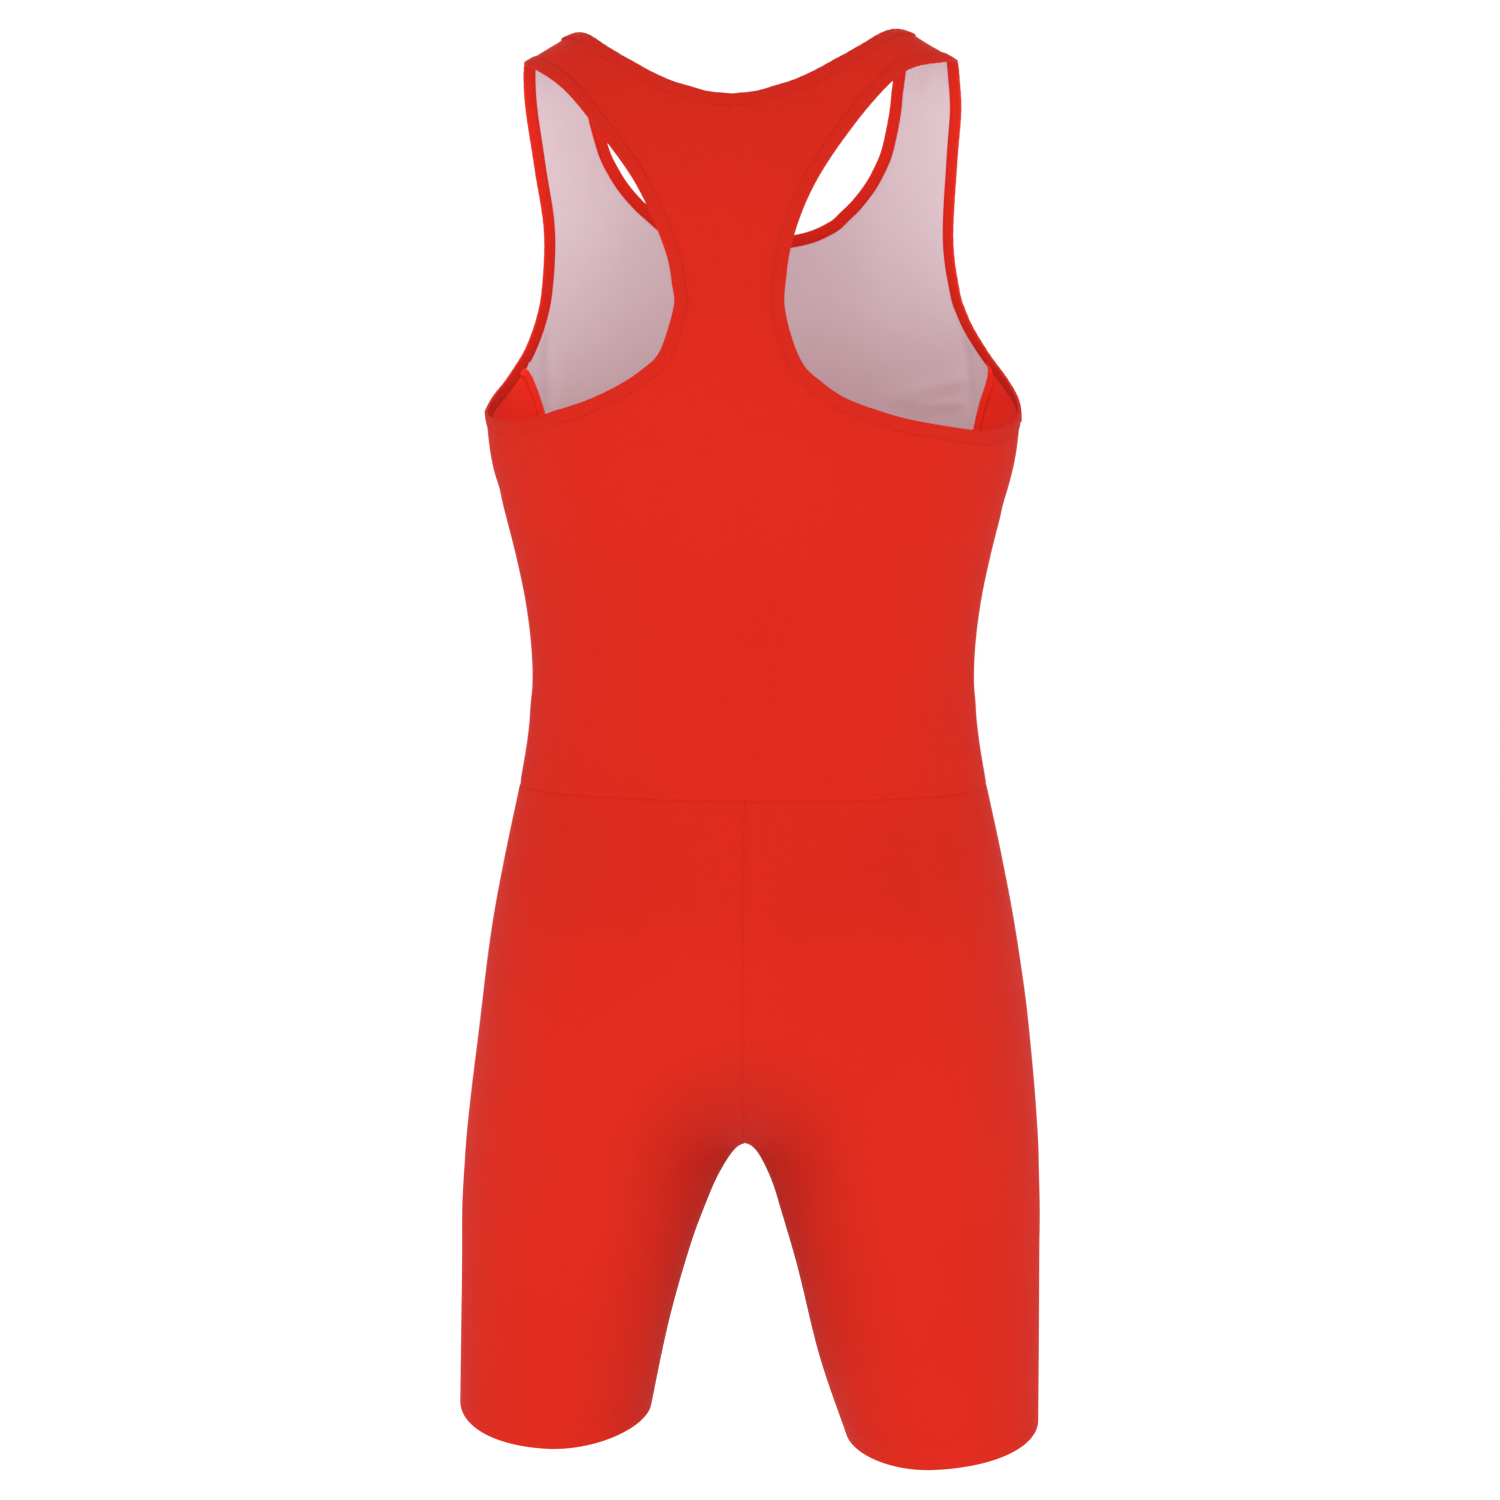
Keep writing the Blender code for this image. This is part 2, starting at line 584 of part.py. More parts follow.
def build():
    clear_scene()
    edges = {side: half_edges(side) for side in SIGNS}
    narrow = np.mean([edges[side]["arm"]["inner"][NARROW_CELL][1] for side in SIGNS])
    for name, half in (("back", back_half), ("front", front_half)):
        halves = [(sign, half(edges[side], side, narrow)) for side, sign in SIGNS.items()]
        points, faces = panel(halves)
        add_node(name, *walled(points, faces, WAIST_Z + SEAM_GAP / 2))
    for side in SIGNS:
        points, faces, inner, centre = leg_panel(side)
        add_node("leg_" + side, *walled(points, faces, WAIST_Z - SEAM_GAP / 2, inner, centre))
        add_node("armhole_binding_" + side, *band([edges[side]["arm"]]))
    left, right = edges["left"], edges["right"]
    add_node("neck_binding", *band([left["neck_front"], backwards(right["neck_front"]),
                                    right["neck_back"], backwards(left["neck_back"])]))


build()
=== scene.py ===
# A sleeveless racerback sprint suit in its worn form, filled out with no wearer, seen from behind.
# Metres, +Z up, front towards -Y, the wearer's left towards +X, origin at the middle of the shoulders.
import math

import bmesh
import bpy
import numpy as np
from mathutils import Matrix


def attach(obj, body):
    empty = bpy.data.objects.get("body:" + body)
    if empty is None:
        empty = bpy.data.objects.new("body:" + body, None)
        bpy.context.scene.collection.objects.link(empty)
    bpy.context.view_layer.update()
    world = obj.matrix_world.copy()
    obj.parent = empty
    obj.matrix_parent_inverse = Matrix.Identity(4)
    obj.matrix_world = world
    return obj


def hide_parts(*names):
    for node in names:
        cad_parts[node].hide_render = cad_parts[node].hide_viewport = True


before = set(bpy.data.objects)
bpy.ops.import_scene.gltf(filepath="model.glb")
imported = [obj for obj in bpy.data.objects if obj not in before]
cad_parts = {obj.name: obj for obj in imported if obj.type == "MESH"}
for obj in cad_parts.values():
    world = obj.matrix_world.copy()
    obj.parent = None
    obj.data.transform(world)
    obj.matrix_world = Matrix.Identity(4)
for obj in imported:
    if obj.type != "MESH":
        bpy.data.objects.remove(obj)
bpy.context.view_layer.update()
print("frame: nodes", sorted(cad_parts))

# A point of the bodice is (ring, level): ring 0 is the centre back, 1 the side and 2 the centre front,
# negative on the wearer's right; level is in mm below the underarm and in quarter degrees above it.
form = {
    "underarm": -0.240, "waist": -0.4745, "crotch": -0.7085, "hem": -0.880,
    "sectionPower": 2.3, "legPower": 2.15, "shoulderRise": 1.9, "shoulderBack": 0.010,
    "shoulderTop": 0.0085, "shoulderSlope": 2.05, "shoulderLean": 0.0078,
    "quarterRing": 0.235, "shoulderLevel": 360.0, "levelSize": 0.00075,
    "strapStand": 0.0024, "strapStandAt": 0.102, "strapStandWidth": 0.014, "riseHeight": 0.110,
    "crotchSlope": 0.44, "gapShift": 0.006, "gapShiftBelowWaist": 0.12, "gapShiftHeight": 0.18,
    "gapShiftReach": 0.19, "hipBlend": 0.085, "sectionDepth": 0.69, "leanFrom": -0.250, "leanHeight": 0.080,
}
sides = {"left": 1, "right": -1}

# Bodice sections: height, half width, depth to the front, depth to the back.
bodiceSections = (
    (-0.240, 0.1667, 0.117, 0.113), (-0.270, 0.1633, 0.117, 0.111), (-0.300, 0.1560, 0.115, 0.106),
    (-0.330, 0.1487, 0.111, 0.099), (-0.360, 0.1428, 0.107, 0.092), (-0.410, 0.1391, 0.101, 0.085),
    (-0.445, 0.1424, 0.100, 0.087), (-0.4745, 0.1474, 0.100, 0.092),
)

# Leg sections: height, half width, front, back, line of greatest depth, half gap.
legSections = (
    (-0.4745, 0.1474, 0.100, 0.092, 0.060, 0.0), (-0.520, 0.1573, 0.102, 0.106, 0.070, 0.0),
    (-0.560, 0.1650, 0.103, 0.118, 0.078, 0.0), (-0.600, 0.1711, 0.103, 0.124, 0.083, 0.0),
    (-0.640, 0.1762, 0.101, 0.123, 0.086, 0.0), (-0.680, 0.1809, 0.098, 0.115, 0.088, 0.0),
    (-0.7085, 0.1836, 0.094, 0.104, 0.089, 0.0), (-0.7206, 0.1843, 0.091, 0.100, 0.091, 0.0124),
    (-0.7339, 0.1851, 0.088, 0.095, 0.095, 0.0190), (-0.7473, 0.1857, 0.086, 0.092, 0.099, 0.0242),
    (-0.774, 0.1860, 0.083, 0.087, 0.105, 0.0340), (-0.828, 0.1868, 0.079, 0.081, 0.115, 0.0494),
    (-0.880, 0.1875, 0.077, 0.079, 0.123, 0.0600),
)
# How much wider the right leg's half of the gap is, and the sideways drift of both legs, by height.
gapRightRows = ((-0.7085, 0.0), (-0.7206, 0.0004), (-0.774, -0.0004), (-0.828, -0.0006), (-0.880, 0.0072))
legDriftRows = ((-0.4745, 0.0), (-0.540, -0.0003), (-0.587, -0.0007), (-0.613, -0.0010),
                (-0.660, -0.0005), (-0.700, 0.0004), (-0.740, 0.0013), (-0.800, 0.0018), (-0.880, 0.0026))
hemTilt = {"left": (0.0005, -0.060, 0.07), "right": (0.013, -0.079, 0.02)}  # drop, fall outwards, backwards
neckWider = {"left": 0.010, "right": 0.0}  # how much further out the neckline lies at a shoulder, in ring

# Armhole edge, from the shoulder down the front and up the back: ring and level, left then right.
armholeRows = (
    (1.383, 360, 1.380, 360), (1.364, 300, 1.370, 300), (1.360, 250, 1.362, 250),
    (1.375, 189, 1.374, 193), (1.395, 135, 1.385, 128), (1.380, 91, 1.360, 91),
    (1.355, 70, 1.337, 77), (1.310, 52, 1.305, 63), (1.263, 40, 1.243, 44),
    (1.190, 26, 1.170, 29), (1.123, 17, 1.098, 17), (1.010, 5, 1.002, 5),
    (0.900, -2, 0.900, -5), (0.750, -6, 0.760, -11), (0.620, -6, 0.645, -12),
    (0.460, 3, 0.427, -5), (0.335, 14, 0.285, 6), (0.248, 25, 0.210, 18),
    (0.192, 36, 0.167, 30), (0.145, 60, 0.143, 56), (0.148, 74, 0.145, 74),
    (0.167, 94, 0.162, 99), (0.240, 134, 0.213, 133), (0.350, 180, 0.315, 181),
    (0.470, 234, 0.422, 232), (0.555, 282, 0.555, 293), (0.602, 322, 0.600, 326),
    (0.617, 360, 0.620, 360),
)
sideSeamRows = ((29, 1.303, 1.262), (0, 1.335, 1.325), (-40, 1.352, 1.348),  # level, ring left, right
                (-120, 1.360, 1.360), (-234, 1.360, 1.360))
neckBackRows = ((0.450, 360), (0.440, 342), (0.416, 324), (0.351, 279), (0.303, 255), (0.263, 240),
                (0.215, 225), (0.160, 212.5), (0.108, 205), (0.060, 199.5), (0.0, 197))
neckFrontRows = ((1.550, 360), (1.562, 310), (1.574, 275), (1.585, 245), (1.592, 222), (1.604, 201),
                 (1.618, 184), (1.637, 171), (1.662, 158), (1.700, 144), (1.738, 133.6), (1.768, 126.5),
                 (1.822, 119.3), (1.880, 115.2), (1.940, 113), (2.0, 112.3))

panelCut = {
    "sideSeamRow": 8, "backSplit": 0.42, "yokeSplit": 158, "frontSplit": 1.70,
    "thickness": 0.0010, "rimUnder": 0.0056, "seamDepth": 0.0005, "seamWidth": 0.0009,
    "seamOpening": 0.00006, "shoulderTrim": 0.05, "seamClear": 4, "seamTop": 40,
}
fineSteps = np.array([0.25, 0.55, 0.90, 1.35, 2.0, 2.9, 4.2, 6.0, 8.6]) / 1000  # rows beside a seam


# Shape of the bodice and of the legs

def makeRingTable():
    # across = sin(t)^(2/p) and deep = cos(t)^(2/p), each against the share of the quarter's length
    angle = np.linspace(0.0, math.pi / 2, 2001)
    across = np.sin(angle) ** (2 / form["sectionPower"])
    deep = np.cos(angle) ** (2 / form["sectionPower"])
    run = np.concatenate([[0], np.cumsum(np.hypot(np.diff(across), form["sectionDepth"] * np.diff(deep)))])
    return run / run[-1], across, deep


ringRun, ringAcross, ringDeep = makeRingTable()


def readTable(rows, column, height):
    # cubic Hermite curve through a column of a table of sections, read at any height
    heights = np.array([row[0] for row in rows])[::-1]
    values = np.array([row[column] for row in rows])[::-1]
    slopes = np.gradient(values, heights)
    spot = np.clip(np.searchsorted(heights, height, side="right") - 1, 0, len(heights) - 2)
    step = heights[spot + 1] - heights[spot]
    t = np.clip((height - heights[spot]) / step, 0, 1)
    return (values[spot] * (2 * t ** 3 - 3 * t ** 2 + 1) + slopes[spot] * step * (t ** 3 - 2 * t ** 2 + t)
            + values[spot + 1] * (3 * t ** 2 - 2 * t ** 3) + slopes[spot + 1] * step * (t ** 3 - t ** 2))


def easeStep(share):
    share = np.clip(share, 0, 1)
    return share * share * (3 - 2 * share)


def bodicePoint(spot):
    # x = half width * across, y = depth * deep * cos(angle), z climbs to the shoulder's ridge as
    # sin(angle)^(2/1.9); the ridge falls as x^2, with a small Gaussian stand under each strap
    ring, level = spot[..., 0], spot[..., 1]
    fraction = np.where(np.abs(ring) <= 1, np.abs(ring), 2 - np.abs(ring))
    across = np.interp(fraction, ringRun, ringAcross) * np.sign(ring)
    deep = np.interp(fraction, ringRun, ringDeep)
    angle = np.radians(np.maximum(level, 0) / 4)
    rise = np.sin(angle) ** (2 / form["shoulderRise"])
    low = form["underarm"] + np.minimum(level, 0) / 1000
    x = readTable(bodiceSections, 1, low) * across
    front, back = readTable(bodiceSections, 2, low), readTable(bodiceSections, 3, low)
    stand = np.exp(-((np.abs(x) - form["strapStandAt"]) / form["strapStandWidth"]) ** 2)
    ridge = form["shoulderTop"] - form["shoulderSlope"] * x ** 2 + form["strapStand"] * stand
    z = np.where(level > 0, form["underarm"] + (ridge - form["underarm"]) * rise, low)
    depth = np.where(np.abs(ring) <= 1, back, -front)
    y = form["shoulderBack"] * rise + depth * deep * np.cos(angle)
    leanX = form["shoulderLean"] * easeStep((z - form["leanFrom"]) / form["leanHeight"])
    return np.stack([x + leanX, y, z], axis=-1)


probe = {"ring": 0.0005, "level": 0.05, "below": 0.06}  # the small steps that a normal is measured over


def clothFrame(spot):
    # outward normal = step along the level x step along the ring, by central differences
    inside = spot - np.array([0.0, probe["below"]])
    ringStep, levelStep = np.array([probe["ring"], 0.0]), np.array([0.0, probe["level"]])
    alongRing = (bodicePoint(inside + ringStep) - bodicePoint(inside - ringStep)) / (2 * probe["ring"])
    alongLevel = (bodicePoint(inside + levelStep) - bodicePoint(inside - levelStep)) / (2 * probe["level"])
    normal = np.cross(alongLevel, alongRing)
    return normal / np.linalg.norm(normal, axis=-1, keepdims=True), alongRing, alongLevel


def clothSize(spot):
    # the spot in metres along the cloth: ring times a quarter's length, and height above the underarm
    level = spot[..., 1]
    up = np.where(level > 0, level * form["levelSize"], level / 1000)
    return np.stack([spot[..., 0] * form["quarterRing"], up], axis=-1)


def runOf(line):
    step = np.linalg.norm(np.diff(line, axis=0), axis=1)
    return np.concatenate([[0], np.cumsum(step)])


curveSteps = 24  # points in each stretch of a curve through a table's rows


def curveThrough(points):
    # Catmull-Rom curve: each stretch is half of (2b + (c-a)t + (2a-5b+4c-d)t^2 + (3b-a-3c+d)t^3)
    points = np.asarray(points, float)
    padded = np.vstack([2 * points[0] - points[1], points, 2 * points[-1] - points[-2]])
    t = np.linspace(0, 1, curveSteps, endpoint=False)[None, :, None]
    a, b, c, d = (padded[i:len(padded) - 3 + i, None] for i in range(4))
    dense = 0.5 * (2 * b + (c - a) * t + (2 * a - 5 * b + 4 * c - d) * t ** 2
                   + (3 * b - a - 3 * c + d) * t ** 3)
    return np.vstack([dense.reshape(-1, points.shape[1]), points[-1:]])


def spacing(length, cells, fineStart=False, fineEnd=False):
    # equal cells, with the fine steps in place of the first or last stretch beside a seam
    start = fineSteps if fineStart else np.array([])
    end = fineSteps if fineEnd else np.array([])
    low = fineSteps[-1] if fineStart else 0.0
    high = length - (fineSteps[-1] if fineEnd else 0.0)
    middle = np.linspace(low, high, cells - len(start) - len(end) + 1)
    parts = [[0.0], start[:-1], middle, length - end[:-1][::-1], [length]]
    line = np.concatenate(parts)
    return line[np.concatenate([[True], np.diff(line) > 1e-9])]


def cutLine(line, cells, fineStart=False, fineEnd=False):
    # the line's points at the spacing's distances along the cloth
    run = runOf(clothSize(line))
    at = spacing(run[-1], cells, fineStart, fineEnd)
    return np.stack([np.interp(at, run, line[:, 0]), np.interp(at, run, line[:, 1])], axis=-1)


def straightLine(start, end, cells, fineStart=False, fineEnd=False):
    return cutLine(np.linspace(start, end, 400), cells, fineStart, fineEnd)


def coonsGrid(bottom, top, left, right):
    # Coons patch: the two ruled surfaces less the corners' bilinear one, by shares of length
    u = (runOf(clothSize(bottom)) / runOf(clothSize(bottom))[-1]
         + runOf(clothSize(top)) / runOf(clothSize(top))[-1])[None, :, None] / 2
    w = (runOf(clothSize(left)) / runOf(clothSize(left))[-1]
         + runOf(clothSize(right)) / runOf(clothSize(right))[-1])[:, None, None] / 2
    grid = (1 - w) * bottom[None] + w * top[None] + (1 - u) * left[:, None] + u * right[:, None]
    corners = ((1 - w) * (1 - u) * bottom[0] + (1 - w) * u * bottom[-1]
               + w * (1 - u) * top[0] + w * u * top[-1])
    return grid - corners


def stepOnCloth(spot, move):
    # least squares: the change of ring and level that carries each point by a move in space
    _, alongRing, alongLevel = clothFrame(spot)
    mixed = (alongRing * alongLevel).sum(-1)
    rows = [np.stack([(alongRing ** 2).sum(-1), mixed], -1),
            np.stack([mixed, (alongLevel ** 2).sum(-1)], -1)]
    pull = np.stack([(alongRing * move).sum(-1), (alongLevel * move).sum(-1)], -1)
    return np.linalg.solve(np.stack(rows, -2), pull[..., None])[..., 0]


band = {"width": 0.0080, "shoulderInset": 0.0385, "fade": 0.0040}


def insetEdge(line, side, turn, reach):
    # the edge with its normals, its direction out, and the line that lies a reach inside it
    flip = np.array([sides[side], 1])
    spot = line * flip
    normal = clothFrame(spot)[0]
    tangent = np.gradient(bodicePoint(spot), axis=0)
    centre = (line[:, 0] < 1e-6) | (line[:, 0] > 2 - 1e-6)
    tangent[centre, 1:] = 0
    normal[centre, 0] = 0
    out = np.cross(normal, tangent) * turn * sides[side]
    out /= np.linalg.norm(out, axis=-1, keepdims=True)
    moved = spot.copy()
    for _ in range(4):
        moved = moved - stepOnCloth(moved, out * reach / 4)
        moved[centre, 0] = spot[centre, 0]
    top = line[:, 1] > form["shoulderLevel"] - 0.01
    shoulder = np.array([band["shoulderInset"] * reach / band["width"], 0])
    moved[top] = spot[top] + np.sign(moved[top] - spot[top]) * shoulder
    return {"spot": spot, "edge": bodicePoint(spot), "normal": normal, "out": out, "inner": moved * flip}


def armholeLines(side):
    columns = (0, 1) if side == "left" else (2, 3)
    dense = curveThrough([[row[columns[0]], row[columns[1]]] for row in armholeRows])
    split = panelCut["sideSeamRow"] * curveSteps
    return dense[:split + 1], dense[split:]


def neckLine(rows, side):
    # the neckline's curve, moved out by the square of its share of the way to the shoulder
    line = curveThrough(rows)
    inward = np.minimum(line[:, 0], 2 - line[:, 0]) / neckBackRows[0][0]
    line[:, 0] += neckWider[side] * inward ** 2 * np.where(line[:, 0] < 1, 1, -1)
    return line


def cellCount(line, cell):
    return max(2, int(round(runOf(clothSize(line))[-1] / cell)))


# Panels of the bodice

cellCounts = {"shoulder": 20, "neckBack": 40, "yoke": 26, "racer": 22, "wing": 62, "rows": 66,
              "neckBottom": 24, "neckSide": 40, "strap": 62, "frontSide": 34}


def panelEdges(side):
    # the armhole and neck edges, cut so that the panels' grids meet row by row
    front, back = armholeLines(side)
    narrow = int(np.argmin(back[:, 0]))
    low = int(np.argmin(np.abs(back[:narrow, 0] - panelCut["backSplit"])))
    high = narrow + int(np.argmin(np.abs(back[narrow:, 1] - panelCut["yokeSplit"])))
    reach, counts = panelCut["rimUnder"], cellCounts
    pieces = [cutLine(front, counts["strap"]), cutLine(back[:low + 1], counts["wing"], fineStart=True),
              cutLine(back[low:narrow + 1], counts["racer"]), cutLine(back[narrow:high + 1], counts["yoke"]),
              cutLine(back[high:], counts["neckBack"])]
    arm = np.vstack([pieces[0]] + [piece[1:] for piece in pieces[1:]])
    neck = neckLine(neckFrontRows, side)
    split = int(np.argmin(np.abs(neck[:, 0] - panelCut["frontSplit"])))
    neckFront = np.vstack([cutLine(neck[:split + 1], counts["neckSide"]),
                           cutLine(neck[split:], counts["neckBottom"])[1:]])
    neckBack = cutLine(neckLine(neckBackRows, side), counts["neckBack"])
    return {"arm": insetEdge(arm, side, 1, reach), "neckFront": insetEdge(neckFront, side, -1, reach),
            "neckBack": insetEdge(neckBack, side, 1, reach)}


def sideSeam(side, top, waist, shift):
    column = 1 if side == "left" else 2
    rows = [row for row in sideSeamRows if row[0] < top[1] - panelCut["seamClear"]]
    points = [tuple(top)] + [(row[column], row[0]) for row in rows]
    dense = curveThrough(points)[::-1].copy()
    dense[:, 0] += shift
    dense[0, 1] = waist
    return cutLine(dense, cellCounts["rows"], fineStart=True)


def waistLevel():
    return (form["waist"] - form["underarm"]) * 1000 + panelCut["seamOpening"] * 500


def backPost(edges):
    # the line up the back between wing and middle, from the waist to the armhole and on to its narrowest
    arm, counts = edges["arm"]["inner"], cellCounts
    low = counts["strap"] + counts["wing"]
    post = straightLine((panelCut["backSplit"], waistLevel()), arm[low], counts["rows"], fineStart=True)
    return post, np.vstack([post, arm[low:low + counts["racer"] + 1][1:]])


def sharedMiddle(edges):
    # both halves meet down the centre back at the mean of their two sides' shares of length
    runs = [runOf(clothSize(backPost(edges[side])[1])) for side in sides]
    tops = [backPost(edges[side])[1][-1, 1] for side in sides]
    return {"level": np.mean(tops), "shares": np.mean([run / run[-1] for run in runs], axis=0)}


def backHalf(edges, side, shared):
    # three grids: the wing under the arm, the lower middle, and the yoke between neck and armhole
    arm = edges["arm"]["inner"]
    counts, split = cellCounts, panelCut["backSplit"]
    first = counts["strap"]
    low, narrow = first + counts["wing"], first + counts["wing"] + counts["racer"]
    waist, middleLevel = waistLevel(), shared["level"]
    seam = sideSeam(side, arm[first], waist, -panelCut["seamOpening"] / 2 / form["quarterRing"])
    wingTop = arm[first:low + 1][::-1].copy()
    wingTop[-1] = seam[-1]
    post, climb = backPost(edges)
    wing = coonsGrid(straightLine((split, waist), seam[0], counts["wing"], fineEnd=True), wingTop, post, seam)
    row = straightLine((0.0, middleLevel), arm[narrow], counts["shoulder"])
    share = shared["shares"]
    centre = np.stack([0 * share, waist + (middleLevel - waist) * share], -1)
    middle = coonsGrid(straightLine((0.0, waist), (split, waist), counts["shoulder"]), row, centre, climb)
    neck = edges["neckBack"]["inner"][::-1]
    spine = straightLine(row[0], neck[0], counts["yoke"])
    left, right = np.vstack([spine, neck[1:]]), arm[narrow:].copy()
    left[-1, 1] -= panelCut["shoulderTrim"]
    right[-1, 1] -= panelCut["shoulderTrim"]
    yoke = coonsGrid(row, straightLine(left[-1], right[-1], counts["shoulder"]), left, right)
    return [wing, middle, yoke]


def frontHalf(edges, side, _):
    # two grids: the middle below the neck, and the side that runs up into the strap
    counts, split = cellCounts, panelCut["frontSplit"]
    arm = edges["arm"]["inner"][:counts["strap"] + 1]
    neck = edges["neckFront"]["inner"]
    waist = waistLevel()
    seam = sideSeam(side, arm[-1], waist, panelCut["seamOpening"] / 2 / form["quarterRing"])
    outer = np.vstack([seam, arm[::-1][1:]])
    outer[-1, 1] -= panelCut["shoulderTrim"]
    bend = counts["neckSide"]
    rows = len(outer) - 1 - bend
    post = straightLine((split, waist), neck[bend], rows, fineStart=True)
    middle = coonsGrid(straightLine((2.0, waist), (split, waist), counts["neckBottom"]), neck[bend:][::-1],
                       straightLine((2.0, waist), neck[-1], rows, fineStart=True), post)
    inner = np.vstack([post, neck[:bend + 1][::-1][1:]])
    inner[-1, 1] -= panelCut["shoulderTrim"]
    strap = coonsGrid(straightLine((split, waist), seam[0], counts["frontSide"], fineEnd=True),
                      straightLine(inner[-1], outer[-1], counts["frontSide"]), inner, outer)
    return [middle, strap]


# Soft creases of the cloth: piece, ring and level of both ends, height (minus is a trough), half width
creaseRows = (
    ("front", -1.617, 8, -1.345, 27, -0.0018, 0.0034),
    ("front", -1.56, 4, -1.38, 8, -0.0015, 0.0028),
    ("front", -1.345, 54, -1.362, 6, 0.0018, 0.0042),
    ("front", 1.388, 58, 1.360, 2, 0.0018, 0.0042),
    ("front", 1.57, 186, 1.562, 146, 0.0009, 0.0036),
    ("front", -1.440, 335, -1.485, 252, -0.0011, 0.0032),
    ("front", -1.478, 335, -1.517, 262, -0.0009, 0.0028),
    ("back", 0.62, -28, 0.98, -52, -0.0006, 0.0060),
    ("back", -0.66, -34, -1.00, -60, -0.0006, 0.0060),
    ("back", 0.70, -165, 0.98, -190, 0.0005, 0.0070),
    ("back", -0.74, -160, -1.00, -186, 0.0005, 0.0070),
    ("back", 0.50, 350, 0.47, 300, -0.0004, 0.0040),
    ("back", -0.52, 352, -0.50, 290, -0.0005, 0.0040),
)


def creaseHeight(place, start, end, height, width):
    # height * exp(-(distance / width)^2), faded to nothing over the last third towards both ends
    along = end - start
    share = ((place - start) @ along) / (along @ along)
    nearest = start + np.clip(share, 0, 1)[..., None] * along
    distance = np.linalg.norm(place - nearest, axis=-1)
    fade = easeStep((share + 0.12) / 0.34) * easeStep((1.12 - share) / 0.34)
    return height * np.exp(-(distance / width) ** 2) * fade


def seamDip(distance):
    # the cloth turns in beside a seam: -depth * exp(-(distance / width)^1.4)
    return -panelCut["seamDepth"] * np.exp(-(np.abs(distance) / panelCut["seamWidth"]) ** 1.4)


def edgeFade(place, piece):
    # 0 under a binding and 1 well clear of it: a smooth step of the distance from the nearest edge
    distance = np.full(place.shape[:-1], 1.0)
    for side, sign in sides.items():
        neck = neckLine(neckFrontRows if piece == "front" else neckBackRows, side)
        for line in (*armholeLines(side), neck):
            spots = clothSize(line[::4] * np.array([sign, 1]))
            gap = np.linalg.norm(place[..., None, :] - spots, axis=-1).min(-1)
            distance = np.minimum(distance, gap)
    return easeStep((distance - band["width"]) / band["fade"])


def bodiceRelief(piece, spot):
    place = clothSize(spot)
    creases = np.zeros(place.shape[:-1])
    relief = seamDip(bodicePoint(spot)[..., 2] - form["waist"])
    relief += seamDip((form["shoulderLevel"] - spot[..., 1]) * form["levelSize"])
    for side, sign in sides.items():
        column = 1 if side == "left" else 2
        rows = sideSeamRows[::-1]
        seamRing = np.interp(spot[..., 1], [row[0] for row in rows], [row[column] for row in rows])
        beside = (spot[..., 0] * sign - seamRing) * form["quarterRing"]
        relief += seamDip(np.where(spot[..., 1] < panelCut["seamTop"], beside, 1))
    for name, ringA, levelA, ringB, levelB, height, width in creaseRows:
        if name == piece:
            ends = clothSize(np.array([[ringA, levelA], [ringB, levelB]], float))
            creases += creaseHeight(place, ends[0], ends[1], height, width)
    return relief + creases * edgeFade(place, piece)


# Meshes

def gridQuads(rows, columns, start, flip):
    index = np.arange(rows * columns).reshape(rows, columns) + start
    quads = np.stack([index[:-1, :-1], index[:-1, 1:], index[1:, 1:], index[1:, :-1]], -1).reshape(-1, 4)
    return quads[:, ::-1] if flip else quads


def addPiece(name, points, quads, uv, materials, weld=2e-5):
    # one smooth mesh object from whole arrays of points, quads and cloth sizes
    mesh = bpy.data.meshes.new(name)
    mesh.from_pydata(points.reshape(-1, 3).tolist(), [], quads.tolist())
    corner = np.empty(len(mesh.loops), dtype=np.int32)
    mesh.loops.foreach_get("vertex_index", corner)
    mesh.uv_layers.new(name="cloth").uv.foreach_set("vector", uv.reshape(-1, 2)[corner].astype("f4").ravel())
    if weld:
        work = bmesh.new()
        work.from_mesh(mesh)
        bmesh.ops.remove_doubles(work, verts=work.verts, dist=weld)
        work.to_mesh(mesh)
        work.free()
    mesh.polygons.foreach_set("use_smooth", np.ones(len(mesh.polygons), dtype=bool))
    for material in materials:
        mesh.materials.append(material)
    piece = bpy.data.objects.new(name, mesh)
    bpy.context.scene.collection.objects.link(piece)
    return piece


def faceOutwards(piece, endSides=0):
    # closes the open ends that have so many sides, then turns every face out
    work = bmesh.new()
    work.from_mesh(piece.data)
    if endSides:
        edges = [edge for edge in work.edges if edge.is_boundary]
        bmesh.ops.holes_fill(work, edges=edges, sides=endSides)
    bmesh.ops.recalc_face_normals(work, faces=work.faces)
    work.to_mesh(piece.data)
    work.free()


def addWall(piece, thickness, inner=0):
    wall = piece.modifiers.new("cloth wall", "SOLIDIFY")
    wall.thickness = thickness
    wall.offset = 0
    wall.material_offset = inner


